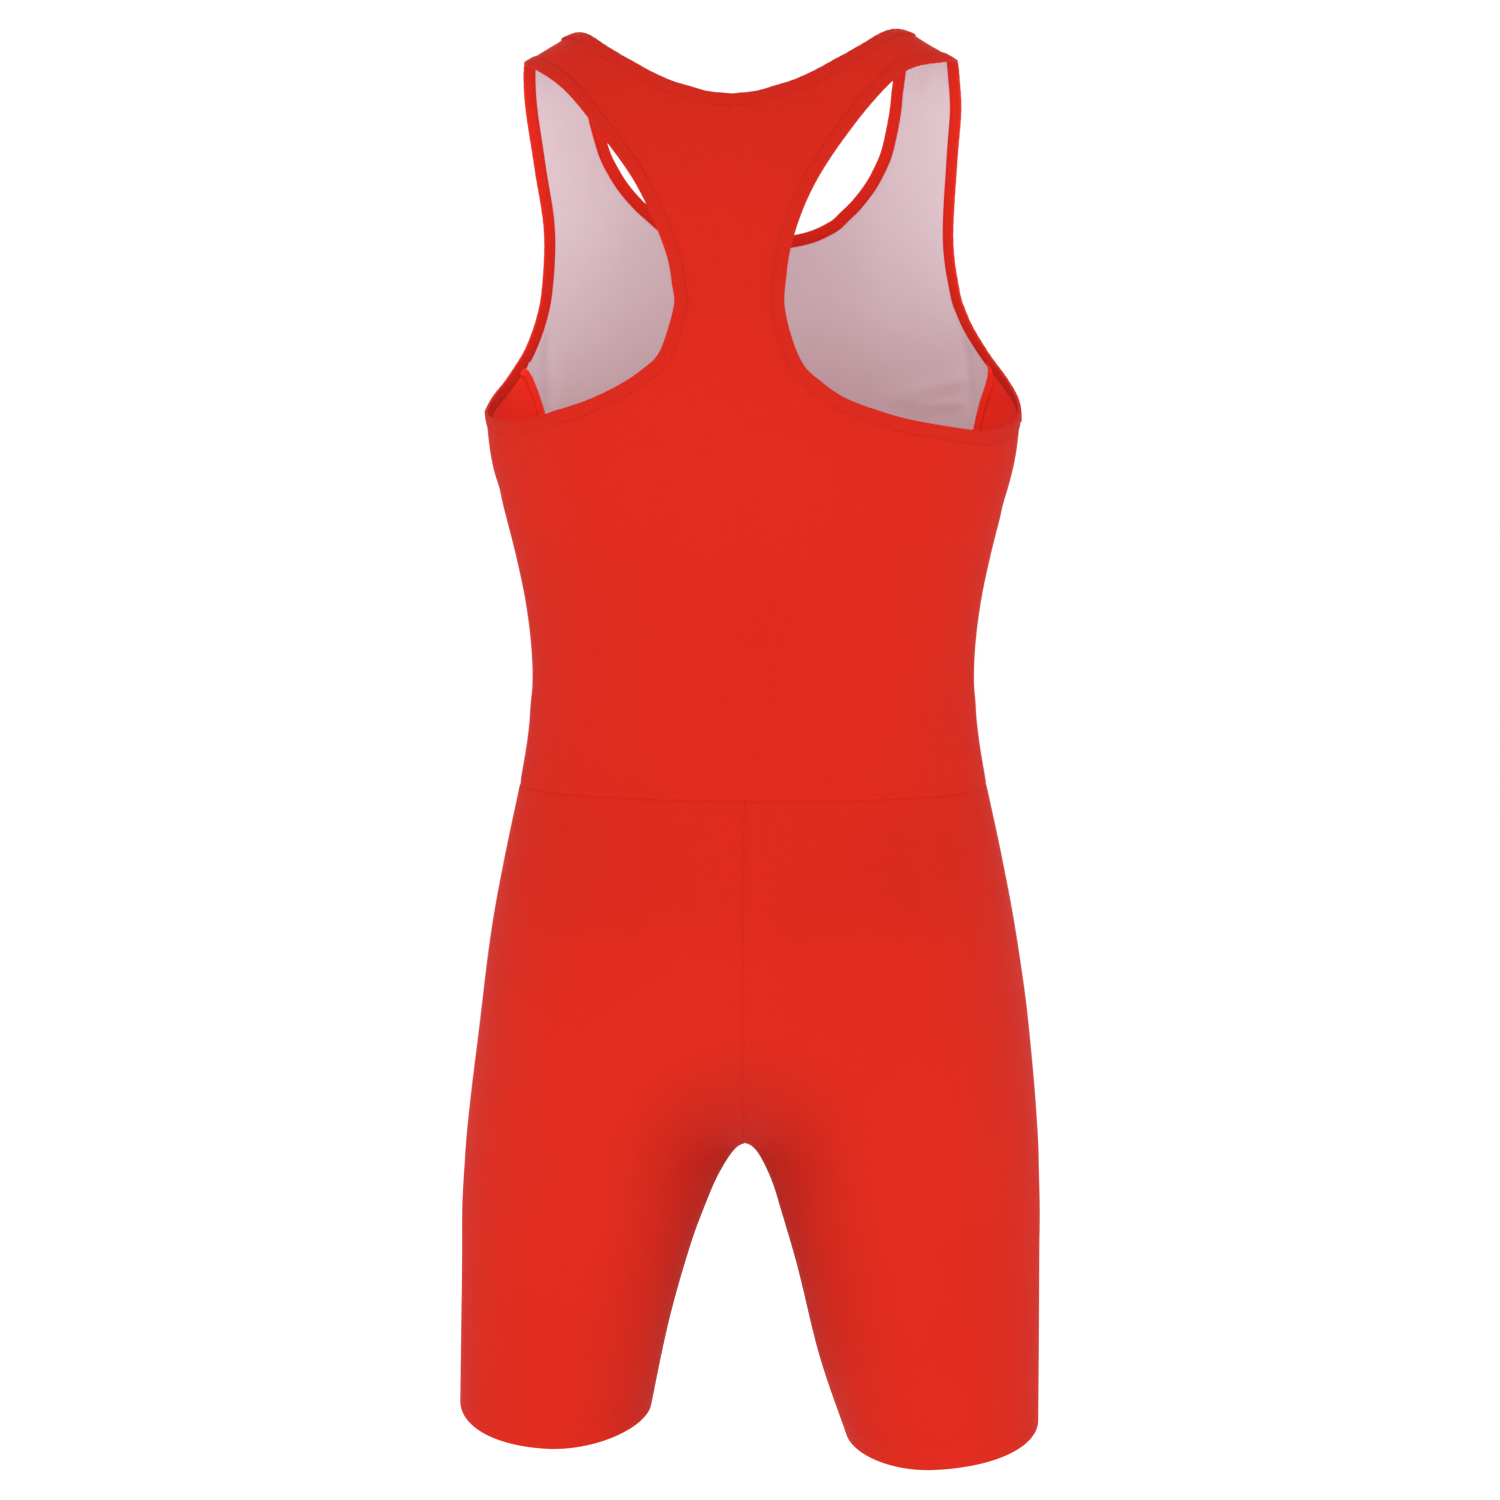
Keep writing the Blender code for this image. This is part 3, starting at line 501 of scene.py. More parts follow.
def panelPiece(name, panel, halves, materials, inner=0):
    points, places, quads, start = [], [], [], 0
    for sign, grids in halves:
        for grid in grids:
            spot = grid * np.array([sign, 1])
            normal = clothFrame(spot)[0]
            made = bodicePoint(spot) + normal * bodiceRelief(panel, spot)[..., None]
            facing = np.cross(made[5, 6] - made[5, 5], made[6, 5] - made[5, 5]) @ normal[5, 5]
            quads.append(gridQuads(*grid.shape[:2], start, facing < 0))
            points.append(made.reshape(-1, 3))
            places.append(clothSize(spot).reshape(-1, 2))
            start += len(points[-1])
    piece = addPiece(name, np.vstack(points), np.vstack(quads), np.vstack(places), materials)
    addWall(piece, panelCut["thickness"], inner)
    return piece


# The cloth beyond each seam, overlocked and pressed flat inside: rows of a panel's grid, moved inwards
allowance = {"rows": 9, "under": 0.00085, "thickness": 0.0005, "ripple": 0.00008, "rippleLength": 0.0045}


def stripPiece(name, strips, material):
    # each strip is (points, normals) across its nine rows; its free edge ripples as sin(2 pi run / length)
    points, quads, places, start = [], [], [], 0
    for line, normal in strips:
        run = runOf(line[:, 0])
        wave = allowance["ripple"] * np.sin(2 * math.pi * run / allowance["rippleLength"])
        across = np.concatenate([[0], fineSteps[:line.shape[1] - 1]])
        depth = allowance["under"] + wave[:, None] * (across / across[-1])[None] ** 2
        points.append((line - normal * depth[..., None]).reshape(-1, 3))
        quads.append(gridQuads(*line.shape[:2], start, False))
        places.append(np.stack(np.broadcast_arrays(run[:, None], across[None]), -1).reshape(-1, 2))
        start += len(points[-1])
    piece = addPiece(name, np.vstack(points), np.vstack(quads), np.vstack(places), [material])
    addWall(piece, allowance["thickness"])
    return piece


def panelAllowance(name, panel, halves, material):
    # nine rows above the waist, and on the back panel nine more beside each side seam
    strips, rows = [], allowance["rows"]
    for sign, grids in halves:
        spots = [grid[:rows].transpose(1, 0, 2) for grid in grids[:2]]
        if panel == "back":
            spots.append(grids[0][rows:, -rows:][:, ::-1])
        for spot in spots:
            spot = spot * np.array([sign, 1])
            strips.append((bodicePoint(spot), clothFrame(spot)[0]))
    return stripPiece(name, strips, material)


# Bindings

bindingShape = {"halfThickness": 0.00105, "power": 5.0, "around": 40, "step": 0.0016,
                "stitchInside": 0.0066, "grooveDepth": 0.00016, "grooveWidth": 0.0005,
                "puckerHeight": 0.00010, "puckerLength": 0.0062, "puckerReach": 0.004}


def bandEdges(side):
    step = bindingShape["step"]
    front, back = armholeLines(side)
    arm = np.vstack([front, back[1:]])
    lines = {"arm": (arm, 1), "neckFront": (neckLine(neckFrontRows, side), -1),
             "neckBack": (neckLine(neckBackRows, side), 1)}
    return {key: insetEdge(cutLine(line, cellCount(line, step)), side, turn, band["width"])
            for key, (line, turn) in lines.items()}


def joinEdges(parts):
    # one closed loop of edge points, normals and directions out, dropping each part's last point
    return {key: np.vstack([part[key][:-1] for part in parts]) for key in ("edge", "normal", "out")}


def backwards(edges):
    return {key: value[::-1] for key, value in edges.items()}


def bindingPiece(name, loop, materials):
    # rounded rectangle: inward = w/2 (1 - c^(2/5)), thick = t s^(2/5), swept along the edge
    shape = bindingShape
    turn = np.linspace(0, 2 * math.pi, shape["around"], endpoint=False)
    cosine, sine = np.cos(turn), np.sin(turn)
    inward = band["width"] / 2 * (1 - np.sign(cosine) * np.abs(cosine) ** (2 / shape["power"]))
    thick = shape["halfThickness"] * np.sign(sine) * np.abs(sine) ** (2 / shape["power"])
    groove = shape["grooveDepth"] * np.exp(-((inward - shape["stitchInside"]) / shape["grooveWidth"]) ** 2)
    thick = thick - np.sign(thick) * groove
    run = np.concatenate([[0], np.cumsum(np.linalg.norm(np.diff(loop["edge"], axis=0), axis=1))])
    pucker = shape["puckerHeight"] * np.sin(2 * math.pi * run / shape["puckerLength"])
    fade = np.sign(thick) * np.exp(-inward / shape["puckerReach"])[::-1]
    lift = thick[None, :] + pucker[:, None] * fade[None, :]
    points = (loop["edge"][:, None] - loop["out"][:, None] * inward[None, :, None]
              + loop["normal"][:, None] * lift[..., None])
    around = np.concatenate([[0], np.cumsum(np.hypot(np.diff(inward), np.diff(thick)))])
    uv = np.stack(np.broadcast_arrays(run[:, None], around[None, :]), -1)
    count, corners = points.shape[:2]
    index = np.arange(count * corners).reshape(count, corners)
    ahead = np.roll(index, -1, axis=0)
    quads = np.stack([index, np.roll(index, -1, 1), np.roll(ahead, -1, 1), ahead], -1).reshape(-1, 4)
    piece = addPiece(name, points, quads, uv, materials, weld=0)
    inside = np.tile((sine + np.roll(sine, -1) < 0).astype(np.int32), count)
    piece.data.polygons.foreach_set("material_index", inside)
    faceOutwards(piece)
    return piece


# Sewing

thread = {"radius": 0.00015, "length": 0.0026, "gap": 0.0006, "sections": 6, "sides": 6}


def stitchRow(name, line, normal, material, closed=False, settings=thread):
    # each stitch is a tube along the line that rises as sin(pi t) and sinks into the cloth at its ends
    if closed:
        line, normal = np.vstack([line, line[:1]]), np.vstack([normal, normal[:1]])
    run = runOf(line)
    pitch = settings["length"] + settings["gap"]
    starts = np.arange(0, run[-1] - settings["length"], pitch)
    t = np.linspace(0, 1, settings["sections"])
    at = starts[:, None] + t * settings["length"]
    centre = np.stack([np.interp(at, run, line[:, i]) for i in range(3)], -1)
    up = np.stack([np.interp(at, run, normal[:, i]) for i in range(3)], -1)
    up /= np.linalg.norm(up, axis=-1, keepdims=True)
    ahead = np.gradient(centre, axis=1)
    across = np.cross(ahead, up)
    across /= np.linalg.norm(across, axis=-1, keepdims=True)
    radius = settings["radius"]
    rise = radius * (1.5 * np.sin(math.pi * t) - 0.9)[None, :, None]
    turn = np.linspace(0, 2 * math.pi, settings["sides"], endpoint=False)
    thickness = radius * (0.75 + 0.25 * np.sin(math.pi * t))[None, :, None, None]
    points = (centre + up * rise)[:, :, None] + thickness * (
        across[:, :, None] * np.cos(turn)[:, None] + up[:, :, None] * np.sin(turn)[:, None])
    count, sections, corners = points.shape[:3]
    index = np.arange(count * sections * corners).reshape(count, sections, corners)
    around = np.roll(index, -1, axis=2)
    quads = np.stack([index[:, :-1], index[:, 1:], around[:, 1:], around[:, :-1]], -1).reshape(-1, 4)
    uv = np.stack(np.broadcast_arrays(at[:, :, None], 0.0003 * turn), -1)
    piece = addPiece(name, points, quads, uv, [material], weld=0)
    faceOutwards(piece, corners)
    piece.data.polygons.foreach_set("use_smooth", np.ones(len(piece.data.polygons), dtype=bool))
    return piece


# Legs

legCut = {"around": 150, "hemDepth": 0.020, "foldRadius": 0.00062, "rowHeight": 0.0042,
          "hemGroove": 0.00018, "grooveWidth": 0.0005, "stitchHeights": {"upper": 0.0180, "lower": 0.0150},
          "stitchMiddle": 0.0165, "stitchReach": 0.0030, "stitchStep": 0.0003, "crotchStep": 0.00008,
          "crotchClear": 0.0005, "girth": 0.47, "axis": 0.09, "probe": 0.001, "sample": (20, 75),
          "foldRows": 8, "hemRows": 9}
hemThread = dict(thread, radius=0.00014, length=0.0027, gap=0.0007)

# Soft creases of a leg: side, share of the way round from the centre front to the centre back and
# height of both ends, height (minus is a trough), half width
legCreaseRows = (
    ("left", 0.03, -0.695, 0.15, -0.665, -0.0007, 0.0070),
    ("right", 0.03, -0.695, 0.14, -0.660, -0.0007, 0.0070),
    ("left", 0.04, -0.735, 0.16, -0.760, -0.0005, 0.0070),
    ("right", 0.04, -0.735, 0.15, -0.756, -0.0005, 0.0070),
    ("left", 0.60, -0.500, 0.72, -0.494, -0.0005, 0.0060),
    ("right", 0.58, -0.504, 0.70, -0.497, -0.0005, 0.0060),
)


def gapHalf(height, side):
    # the square of half the gap is smooth, so the gap opens as a square root below the crotch
    if height >= form["crotch"]:
        return 0.0
    rows = [(row[0], row[5] ** 2) for row in legSections if row[0] <= form["crotch"]]
    wider = readTable(gapRightRows, 1, height) if side == "right" else 0.0
    return math.sqrt(max(0.0, float(readTable(rows, 1, height)))) + wider


def crotchDip(height, middle, gap):
    # 0 at the hips and 1 at the crotch by a cubic, then 2 / (1 + cos(pi gap / middle))
    if height > form["crotch"]:
        t = min(1.0, (height - form["crotch"]) / form["riseHeight"])
        slope = form["crotchSlope"]
        return 1 - t * (slope + t * (3 - 2 * slope) - t * t * (2 - slope))
    return 2 / (1 + math.cos(math.pi * gap / middle))


def legRing(height, side):
    # outer half: 1 - ((x - m) / (w - m))^2.15; inner half: 1 - dip (1 + cos(pi x / m)) / 2
    wide, front, back, middle = (readTable(legSections, i, height) for i in (1, 2, 3, 4))
    inner = gapHalf(height, side)
    turn = np.linspace(0, math.pi, 1201)
    x = inner + (wide - inner) * (1 - np.cos(turn)) / 2
    inside = 1 - crotchDip(height, middle, inner) * (1 + np.cos(math.pi * np.minimum(x, middle) / middle)) / 2
    outside = 1 - (np.maximum(x - middle, 0) / (wide - middle)) ** form["legPower"]
    shape = np.where(x < middle, np.sqrt(np.maximum(inside, 0)),
                     np.maximum(outside, 0) ** (1 / form["legPower"]))
    body = np.maximum(1 - (x / wide) ** form["sectionPower"], 0) ** (1 / form["sectionPower"])
    mix = easeStep((form["waist"] - height) / form["hipBlend"])
    shape = body * (1 - mix) + shape * mix
    if inner > 0:
        shape[0] = 0
    x = np.maximum(x, panelCut["seamOpening"] / 2)
    ring = np.vstack([np.stack([x, -front * shape], -1), np.stack([x, back * shape], -1)[::-1][1:]])
    run = runOf(ring)
    at = spacing(run[-1], legCut["around"], True, True)
    return np.stack([np.interp(at, run, ring[:, 0]), np.interp(at, run, ring[:, 1]),
                     np.full(len(at), height)], -1), at


def legHeights():
    # rows close together at the waist, the crotch and the hem, and even between
    top, crotch, hem = form["waist"] - panelCut["seamOpening"] / 2, form["crotch"], form["hem"]
    upper = top - spacing(top - crotch, int((top - crotch) / legCut["rowHeight"]) + 18, True, True)
    lower = crotch - spacing(crotch - hem, int((crotch - hem) / legCut["rowHeight"]) + 9, True, False)
    near = [crotch - legCut["crotchStep"]]
    reach, step = legCut["stitchReach"], legCut["stitchStep"]
    stitch = hem + legCut["stitchMiddle"] + np.arange(-reach, reach + step / 3, step)
    return np.unique(np.round(np.concatenate([upper, lower, near, stitch]), 7))[::-1]


def gridNormals(points):
    # cross product of the grid's two gradients
    normal = np.cross(np.gradient(points, axis=1), np.gradient(points, axis=0))
    return normal / np.maximum(np.linalg.norm(normal, axis=-1, keepdims=True), 1e-12)


def legRelief(side, points, share, around, total):
    height = points[..., 2]
    relief = seamDip(height - form["waist"])
    relief += seamDip(around) + seamDip(total - around)
    for above in legCut["stitchHeights"].values():
        beside = (height - form["hem"] - above) / legCut["grooveWidth"]
        relief -= legCut["hemGroove"] * np.exp(-beside ** 2)
    girth = legCut["girth"]
    place = np.stack([share * girth, height], -1)
    for name, shareA, heightA, shareB, heightB, rise, width in legCreaseRows:
        if name == side:
            ends = np.array([[shareA * girth, heightA], [shareB * girth, heightB]])
            relief += creaseHeight(place, ends[0], ends[1], rise, width)
    return relief


def placeLeg(side, points):
    # the hem's tilt grows from the crotch down, the gap shifts sideways and both legs drift a little
    drop, fallOut, fallBack = hemTilt[side]
    share = easeStep((form["crotch"] - points[..., 2]) / (form["crotch"] - form["hem"]))
    tilt = drop + fallOut * (points[..., 0] - legSections[-1][4]) + fallBack * points[..., 1]
    below = form["waist"] - points[..., 2] - form["gapShiftBelowWaist"]
    shift = (form["gapShift"] * easeStep(below / form["gapShiftHeight"])
             * (1 - points[..., 0] / form["gapShiftReach"]))
    x = sides[side] * points[..., 0] + shift + readTable(legDriftRows, 1, points[..., 2])
    return np.stack([x, points[..., 1], points[..., 2] - share * tilt], axis=-1)


def legPiece(side, materials, threadMaterial):
    # rows of rounded sections, then the hem folded inwards round a half circle and turned up
    made = [legRing(height, side) for height in legHeights()]
    points = np.stack([ring for ring, _ in made])
    around = np.stack([at for _, at in made])
    total = around[:, -1:]
    share = around / total
    normal = -gridNormals(points)
    normal[..., 2] = np.where(np.abs(points[..., 2] - form["waist"]) < 0.0001, 0, normal[..., 2])
    sample = legCut["sample"]
    outward = points[sample] * np.array([1, 1, 0]) - np.array([legCut["axis"], 0, 0])
    normal *= np.sign((normal[sample] * outward).sum())
    shaped = points + normal * legRelief(side, points, share, around, total)[..., None]
    last, flat = shaped[-1], normal[-1] * np.array([1, 1, 0])
    flat /= np.linalg.norm(flat, axis=-1, keepdims=True)
    radius = legCut["foldRadius"]
    turn = np.linspace(0, math.pi, legCut["foldRows"])[1:, None, None]
    fold = last - flat * radius * (1 - np.cos(turn)) - np.array([0, 0, radius]) * np.sin(turn)
    hemHeights = form["hem"] + legCut["hemDepth"] * np.linspace(0, 1, legCut["hemRows"])[1:]
    turned = np.stack([legRing(height, side)[0] for height in hemHeights])
    turned = turned - flat * 2 * radius
    grid = np.concatenate([shaped, fold, turned])
    low = form["hem"] - radius * math.pi * np.linspace(0, 1, legCut["foldRows"])[1:]
    down = np.concatenate([points[:, 0, 2], low, low[-1] - (hemHeights - form["hem"])])
    extra = np.repeat(around[-1:], len(fold) + len(turned), axis=0)
    uv = np.stack([np.concatenate([around, extra]), np.repeat(down[:, None], grid.shape[1], 1)], -1)
    name = side + "_leg"
    quads = gridQuads(*grid.shape[:2], 0, sides[side] > 0)
    piece = addPiece(name, placeLeg(side, grid), quads, uv, materials)
    addWall(piece, panelCut["thickness"], inner=1)

    # the inseam's allowance lies to the back; the left leg also carries the two centre seams'
    rows, mirror = allowance["rows"], np.array([sides[side], 1, 1])
    seam = points[:, 0, 2] > form["hem"] + legCut["hemDepth"]
    first = 0 if side == "left" else int((points[:, 0, 2] > form["crotch"]).sum())
    strips = [(points[seam][first:, -rows:][:, ::-1], normal[seam][first:, -rows:][:, ::-1])]
    if side == "left":
        upper = points[:, 0, 2] > form["crotch"] + legCut["crotchClear"]
        strips.append((points[upper][:, :rows], normal[upper][:, :rows]))
    strips = [(placeLeg(side, line), direction * mirror) for line, direction in strips]
    extras = [stripPiece(name + "_allowance", strips, materials[1])]

    # two rows of stitches hold the hem
    for label, height in legCut["stitchHeights"].items():
        ring, _ = legRing(form["hem"] + height, side)
        below, _ = legRing(form["hem"] + height - legCut["probe"], side)
        direction = -gridNormals(np.stack([ring, below]))[0]
        direction *= np.sign((direction[sample[1]] * outward).sum())
        line = ring + direction * (panelCut["thickness"] / 2 - legCut["hemGroove"])
        extras.append(stitchRow(name + "_hem_stitches_" + label, placeLeg(side, line), direction * mirror,
                                threadMaterial, closed=True, settings=hemThread))
    return piece, extras


# Materials

def addNode(tree, kind, x, y, **values):
    node = tree.nodes.new(kind)
    node.location = (x, y)
    for key, value in values.items():
        setattr(node, key, value)
    return node


def mathNode(tree, operation, first, second=None, third=None):
    node = addNode(tree, "ShaderNodeMath", 0, 0, operation=operation)
    for socket, value in zip(node.inputs, (first, second, third)):
        if value is None:
            continue
        if isinstance(value, (int, float)):
            socket.default_value = value
        else:
            tree.links.new(value, socket)
    return node.outputs[0]


def newGroup(name, inputs, outputs):
    tree = bpy.data.node_groups.new(name, "ShaderNodeTree")
    for label, kind, value in inputs:
        socket = tree.interface.new_socket(name=label, in_out="INPUT", socket_type=kind)
        if value is not None:
            socket.default_value = value
    for label, kind in outputs:
        tree.interface.new_socket(name=label, in_out="OUTPUT", socket_type=kind)
    return tree, tree.nodes.new("NodeGroupInput"), tree.nodes.new("NodeGroupOutput")


def makeKnitGroup():
    # jersey loops: each wale has two legs, sin(2 pi w), and its courses bend into a V
    tree, start, end = newGroup(
        "jersey knit",
        [("Cloth", "NodeSocketVector", None), ("Wales per metre", "NodeSocketFloat", 1500.0),
         ("Courses per metre", "NodeSocketFloat", 1900.0)],
        [("Height", "NodeSocketFloat")])
    split = addNode(tree, "ShaderNodeSeparateXYZ", -800, 0)
    tree.links.new(start.outputs["Cloth"], split.inputs[0])
    wale = mathNode(tree, "MULTIPLY", split.outputs["X"], start.outputs["Wales per metre"])
    course = mathNode(tree, "MULTIPLY", split.outputs["Y"], start.outputs["Courses per metre"])
    part = mathNode(tree, "FRACT", wale)
    bend = mathNode(tree, "ABSOLUTE", mathNode(tree, "MULTIPLY_ADD", part, 2.0, -1.0))
    phase = mathNode(tree, "FRACT", mathNode(tree, "MULTIPLY_ADD", bend, 0.5, course))
    loop = mathNode(tree, "SINE", mathNode(tree, "MULTIPLY", phase, math.pi))
    leg = mathNode(tree, "ABSOLUTE", mathNode(tree, "SINE", mathNode(tree, "MULTIPLY", part, 2 * math.pi)))
    round_ = mathNode(tree, "POWER", leg, 0.6)
    height = mathNode(tree, "MULTIPLY", round_, mathNode(tree, "MULTIPLY_ADD", loop, 0.65, 0.35))
    tree.links.new(height, end.inputs["Height"])
    return tree


def makeToneGroup():
    # slow unevenness of the dye and the fine fuzz of the yarn, both from noise
    tree, start, end = newGroup(
        "dye and fuzz",
        [("Place", "NodeSocketVector", None), ("Dye scale", "NodeSocketFloat", 9.0),
         ("Fuzz scale", "NodeSocketFloat", 900.0)],
        [("Dye", "NodeSocketFloat"), ("Fuzz", "NodeSocketFloat")])
    for label, detail in (("Dye", 4.0), ("Fuzz", 2.0)):
        noise = addNode(tree, "ShaderNodeTexNoise", -400, 0 if label == "Dye" else -260)
        noise.inputs["Detail"].default_value = detail
        tree.links.new(start.outputs["Place"], noise.inputs["Vector"])
        tree.links.new(start.outputs[label + " scale"], noise.inputs["Scale"])
        tree.links.new(noise.outputs[0], end.inputs[label])
    return tree


def clothMaterial(name, look):
    # a Principled cloth: two colours mixed by the dye's noise and by the knit loops' height, which is painted
    # shade (loop crowns lighter, hollows darker), with the knit also as bump
    material = bpy.data.materials.new(name)
    material.use_nodes = True
    tree = material.node_tree
    shader = tree.nodes["Principled BSDF"]
    place = addNode(tree, "ShaderNodeTexCoord", -1200, 200)
    cloth = addNode(tree, "ShaderNodeUVMap", -1200, -200, uv_map="cloth")
    knit = addNode(tree, "ShaderNodeGroup", -900, -200, node_tree=knitGroup)
    knit.inputs["Wales per metre"].default_value = look["wales"]
    knit.inputs["Courses per metre"].default_value = look["courses"]
    tone = addNode(tree, "ShaderNodeGroup", -900, 200, node_tree=toneGroup)
    tree.links.new(cloth.outputs[0], knit.inputs["Cloth"])
    tree.links.new(place.outputs["Object"], tone.inputs["Place"])
    # painted shade: the knit loops' height moves the colour towards the bright red on their crowns and the
    # deep red in their hollows, on top of the dye's random tone
    share = mathNode(tree, "MULTIPLY_ADD", knit.outputs["Height"], look["loopShadeShare"], tone.outputs["Dye"])
    colour = addNode(tree, "ShaderNodeMix", -400, 200, data_type="RGBA")
    colour.inputs["A"].default_value = (*look["deep"], 1)
    colour.inputs["B"].default_value = (*look["bright"], 1)
    tree.links.new(share, colour.inputs["Factor"])
    tree.links.new(colour.outputs["Result"], shader.inputs["Base Color"])
    rough = mathNode(tree, "MULTIPLY_ADD", tone.outputs["Fuzz"], look["fuzzRoughness"],
                     look["roughness"] - look["fuzzRoughness"] / 2)
    tree.links.new(rough, shader.inputs["Roughness"])
    relief = mathNode(tree, "MULTIPLY_ADD", tone.outputs["Fuzz"], look["fuzzHeight"], knit.outputs["Height"])
    bump = addNode(tree, "ShaderNodeBump", -300, -300)
    bump.inputs["Strength"].default_value = look["bump"]
    bump.inputs["Distance"].default_value = look["loopHeight"]
    tree.links.new(relief, bump.inputs["Height"])
    tree.links.new(bump.outputs[0], shader.inputs["Normal"])
    shader.inputs["Sheen Weight"].default_value = look["sheen"]
    shader.inputs["Sheen Roughness"].default_value = look["sheenRoughness"]
    shader.inputs["Sheen Tint"].default_value = (*look["sheenTint"], 1)
    shader.inputs["Specular IOR Level"].default_value = look["specular"]
    material.diffuse_color = (*look["bright"], 1)
    return material


knitGroup = makeKnitGroup()
toneGroup = makeToneGroup()

redLook = {"deep": (0.410, 0.0114, 0.0048), "bright": (0.460, 0.0134, 0.0062), "wales": 1500.0,
           "courses": 1900.0, "loopShadeShare": 0.25, "roughness": 0.80, "bump": 0.35, "loopHeight": 0.00022,
           "fuzzRoughness": 0.16, "fuzzHeight": 0.35, "sheen": 0.010, "sheenRoughness": 0.45,
           "sheenTint": (1.0, 0.40, 0.45), "specular": 0.05}
paleLook = dict(redLook, deep=(0.556, 0.472, 0.518), bright=(0.614, 0.534, 0.585), sheen=0.03,
                sheenTint=(1.0, 0.95, 0.96), specular=0.15)
bindingLook = dict(redLook, deep=(0.405, 0.0114, 0.0048), bright=(0.455, 0.0134, 0.0062), wales=1900.0,
                   courses=1500.0, bump=0.45)
threadLook = dict(redLook, deep=(0.44, 0.0100, 0.0035), bright=(0.52, 0.0130, 0.0050), wales=2600.0,
                  courses=900.0, specular=0.16, roughness=0.6)
# the inner face: the same red cloth made about twice as bright, painted light that stands in for the light
# the shaded inside of the suit lacks
innerPaintedLightLook = dict(redLook, deep=(0.84, 0.0280, 0.0140), bright=(0.92, 0.0330, 0.0170))
# the bindings' inner faces: the binding red made brighter, painted light for the shade inside the suit
bindingInnerPaintedLightLook = dict(bindingLook, deep=(0.56, 0.0170, 0.0080), bright=(0.64, 0.0200, 0.0100))

redKnit = clothMaterial("red knit", redLook)
paleKnit = clothMaterial("pale inner face", paleLook)
# inner faces of the panels, legs and allowances: the red brightened as painted light for the shaded inside
innerPaintedLightKnit = clothMaterial("red inner face with painted light", innerPaintedLightLook)
bindingKnit = clothMaterial("binding knit", bindingLook)
# the bindings' inner faces carry painted light: brighter than their outer red
bindingInnerPaintedLight = clothMaterial("binding inner face with painted light", bindingInnerPaintedLightLook)
threadRed = clothMaterial("red thread", threadLook)
print("materials made")


# The suit

edges = {side: panelEdges(side) for side in sides}
shared = sharedMiddle(edges)
halves = {name: [(sign, half(edges[side], side, shared)) for side, sign in sides.items()]
          for name, half in (("back", backHalf), ("front", frontHalf))}
back = panelPiece("back_panel", "back", halves["back"], [redKnit, innerPaintedLightKnit], inner=1)
front = panelPiece("front_panel", "front", halves["front"], [redKnit, paleKnit], inner=1)
allowances = {name: panelAllowance(name + "_allowance", name, halves[name], innerPaintedLightKnit) for name in halves}
print("bodice panels made")

legs = {side: legPiece(side, [redKnit, innerPaintedLightKnit], threadRed) for side in sides}
print("legs made")

bands = {side: bandEdges(side) for side in sides}
loops = {"neck_band": joinEdges([bands["left"]["neckFront"], backwards(bands["right"]["neckFront"]),
                                 bands["right"]["neckBack"], backwards(bands["left"]["neckBack"])])}
for side in sides:
    loops[side + "_armhole_band"] = joinEdges([bands[side]["arm"]])
bindings = {name: bindingPiece(name, loop, [bindingKnit, bindingInnerPaintedLight]) for name, loop in loops.items()}
print("bindings made")

stitches = {}
for name, loop in loops.items():
    inside = loop["edge"] - loop["out"] * bindingShape["stitchInside"]
    height = bindingShape["halfThickness"] - bindingShape["grooveDepth"]
    stitches[name] = [stitchRow(name + "_stitches_" + label, inside + loop["normal"] * turn * height,
                                loop["normal"] * turn, threadRed, closed=True)
                      for label, turn in (("outer", 1), ("inner", -1))]
print("stitches made")


# Floor, light and camera

def addLight(name, place, aim, size, power):
    light = bpy.data.lights.new(name, "AREA")
    light.shape, light.size, light.energy = "DISK", size, power
    lamp = bpy.data.objects.new(name, light)
    lamp.location = place
    direction = np.array(aim) - np.array(place)
    turn = math.atan2(direction[1], direction[0]) - math.pi / 2
    pitch = math.atan2(direction[2], math.hypot(direction[0], direction[1])) + math.pi / 2
    lamp.rotation_euler = (pitch, 0, turn)
    bpy.context.scene.collection.objects.link(lamp)


studio = {"floorHeight": -1.50, "floorRadius": 40.0, "floorSides": 96, "floorTone": 0.95, "sky": 1.05}
mesh = bpy.data.meshes.new("floor")
ringAngle = np.linspace(0, 2 * math.pi, studio["floorSides"], endpoint=False)
disc = np.stack([np.cos(ringAngle), np.sin(ringAngle), 0 * ringAngle], -1) * studio["floorRadius"]
mesh.from_pydata((disc + [0, 0, studio["floorHeight"]]).tolist(), [], [list(range(studio["floorSides"]))])
floor = bpy.data.objects.new("floor", mesh)
bpy.context.scene.collection.objects.link(floor)
floorPaint = bpy.data.materials.new("pale floor")
floorPaint.use_nodes = True
floorShader = floorPaint.node_tree.nodes["Principled BSDF"]
floorShader.inputs["Base Color"].default_value = (*[studio["floorTone"]] * 3, 1)
floorShader.inputs["Roughness"].default_value = 0.9
mesh.materials.append(floorPaint)

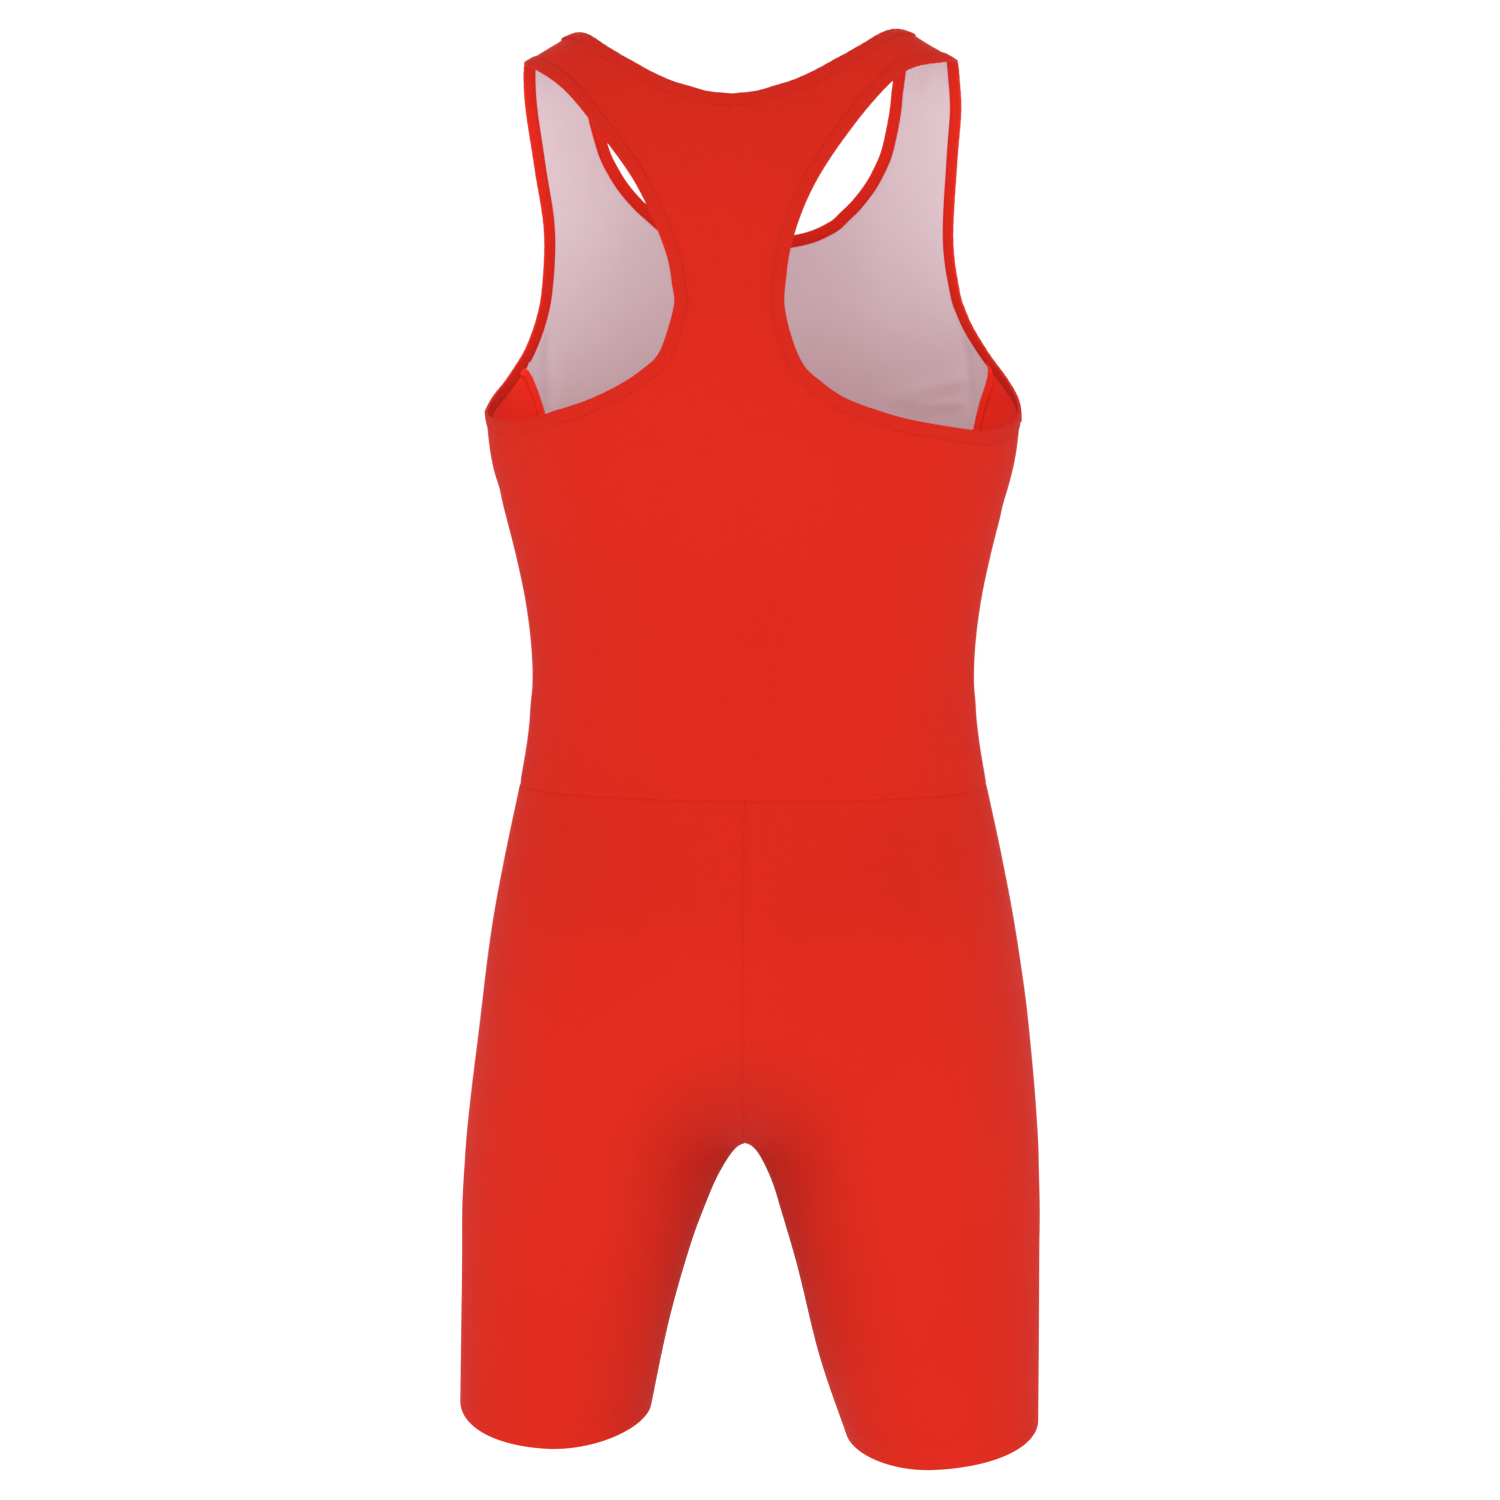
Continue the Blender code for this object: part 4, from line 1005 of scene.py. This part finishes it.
world = bpy.data.worlds.new("studio")
bpy.context.scene.world = world
world.use_nodes = True
world.node_tree.nodes["Background"].inputs["Color"].default_value = (1, 1, 1, 1)
world.node_tree.nodes["Background"].inputs["Strength"].default_value = studio["sky"]
bpy.context.scene.view_settings.view_transform = "Standard"

# Soft round lamps: name, place, height aimed at, diameter, watts
lampRows = (
    ("back left", (0.75, 2.4, 0.10), -0.35, 1.2, 8),
    ("back right", (-0.85, 2.4, 0.05), -0.35, 1.2, 6),
    ("back middle", (-0.10, 2.3, -0.25), -0.45, 1.4, 10.5),
    ("side left", (2.4, 0.5, -0.40), -0.50, 1.6, 11),
    ("side right", (-2.4, 0.5, -0.40), -0.50, 1.6, 13),
    ("low", (0.1, 1.6, -1.35), -0.72, 1.4, 8),
    ("above", (0.0, 0.5, 2.0), -0.40, 1.2, 3.5),
    ("front", (0.4, -2.6, 0.9), -0.45, 2.0, 20),
)
for name, place, height, size, power in lampRows:
    addLight(name, place, (0, 0, height), size, power)

view = {"place": (-0.1017, 1.7970, -0.250), "aim": (0.0019, 0.0, -0.454), "lens": 68.47}
cameraData = bpy.data.cameras.new("camera")
cameraData.lens = view["lens"]
cameraData.sensor_width = 36
camera = bpy.data.objects.new("camera", cameraData)
camera.location = view["place"]
look = np.array(view["aim"]) - np.array(view["place"])
camera.rotation_euler = (math.atan2(look[2], math.hypot(look[0], look[1])) + math.pi / 2, 0,
                         math.atan2(look[1], look[0]) - math.pi / 2)
bpy.context.scene.collection.objects.link(camera)
bpy.context.scene.camera = camera

# What each piece stands for, and how its cloth was cut

stands = {"back_panel": ("back", "red_knit"), "front_panel": ("front", "front_knit"),
          "left_leg": ("leg_left", "red_knit"), "right_leg": ("leg_right", "red_knit"),
          "neck_band": ("neck_binding", "binding"), "left_armhole_band": ("armhole_binding_left", "binding"),
          "right_armhole_band": ("armhole_binding_right", "binding")}
pieces = {"back_panel": back, "front_panel": front, "left_leg": legs["left"][0],
          "right_leg": legs["right"][0], **bindings}
trims = {"back_panel": [allowances["back"]], "front_panel": [allowances["front"]],
         "left_leg": legs["left"][1], "right_leg": legs["right"][1], **stitches}
for name, piece in pieces.items():
    node, slot = stands[name]
    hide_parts(node)
    for item in [piece] + trims[name]:
        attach(item, "root")
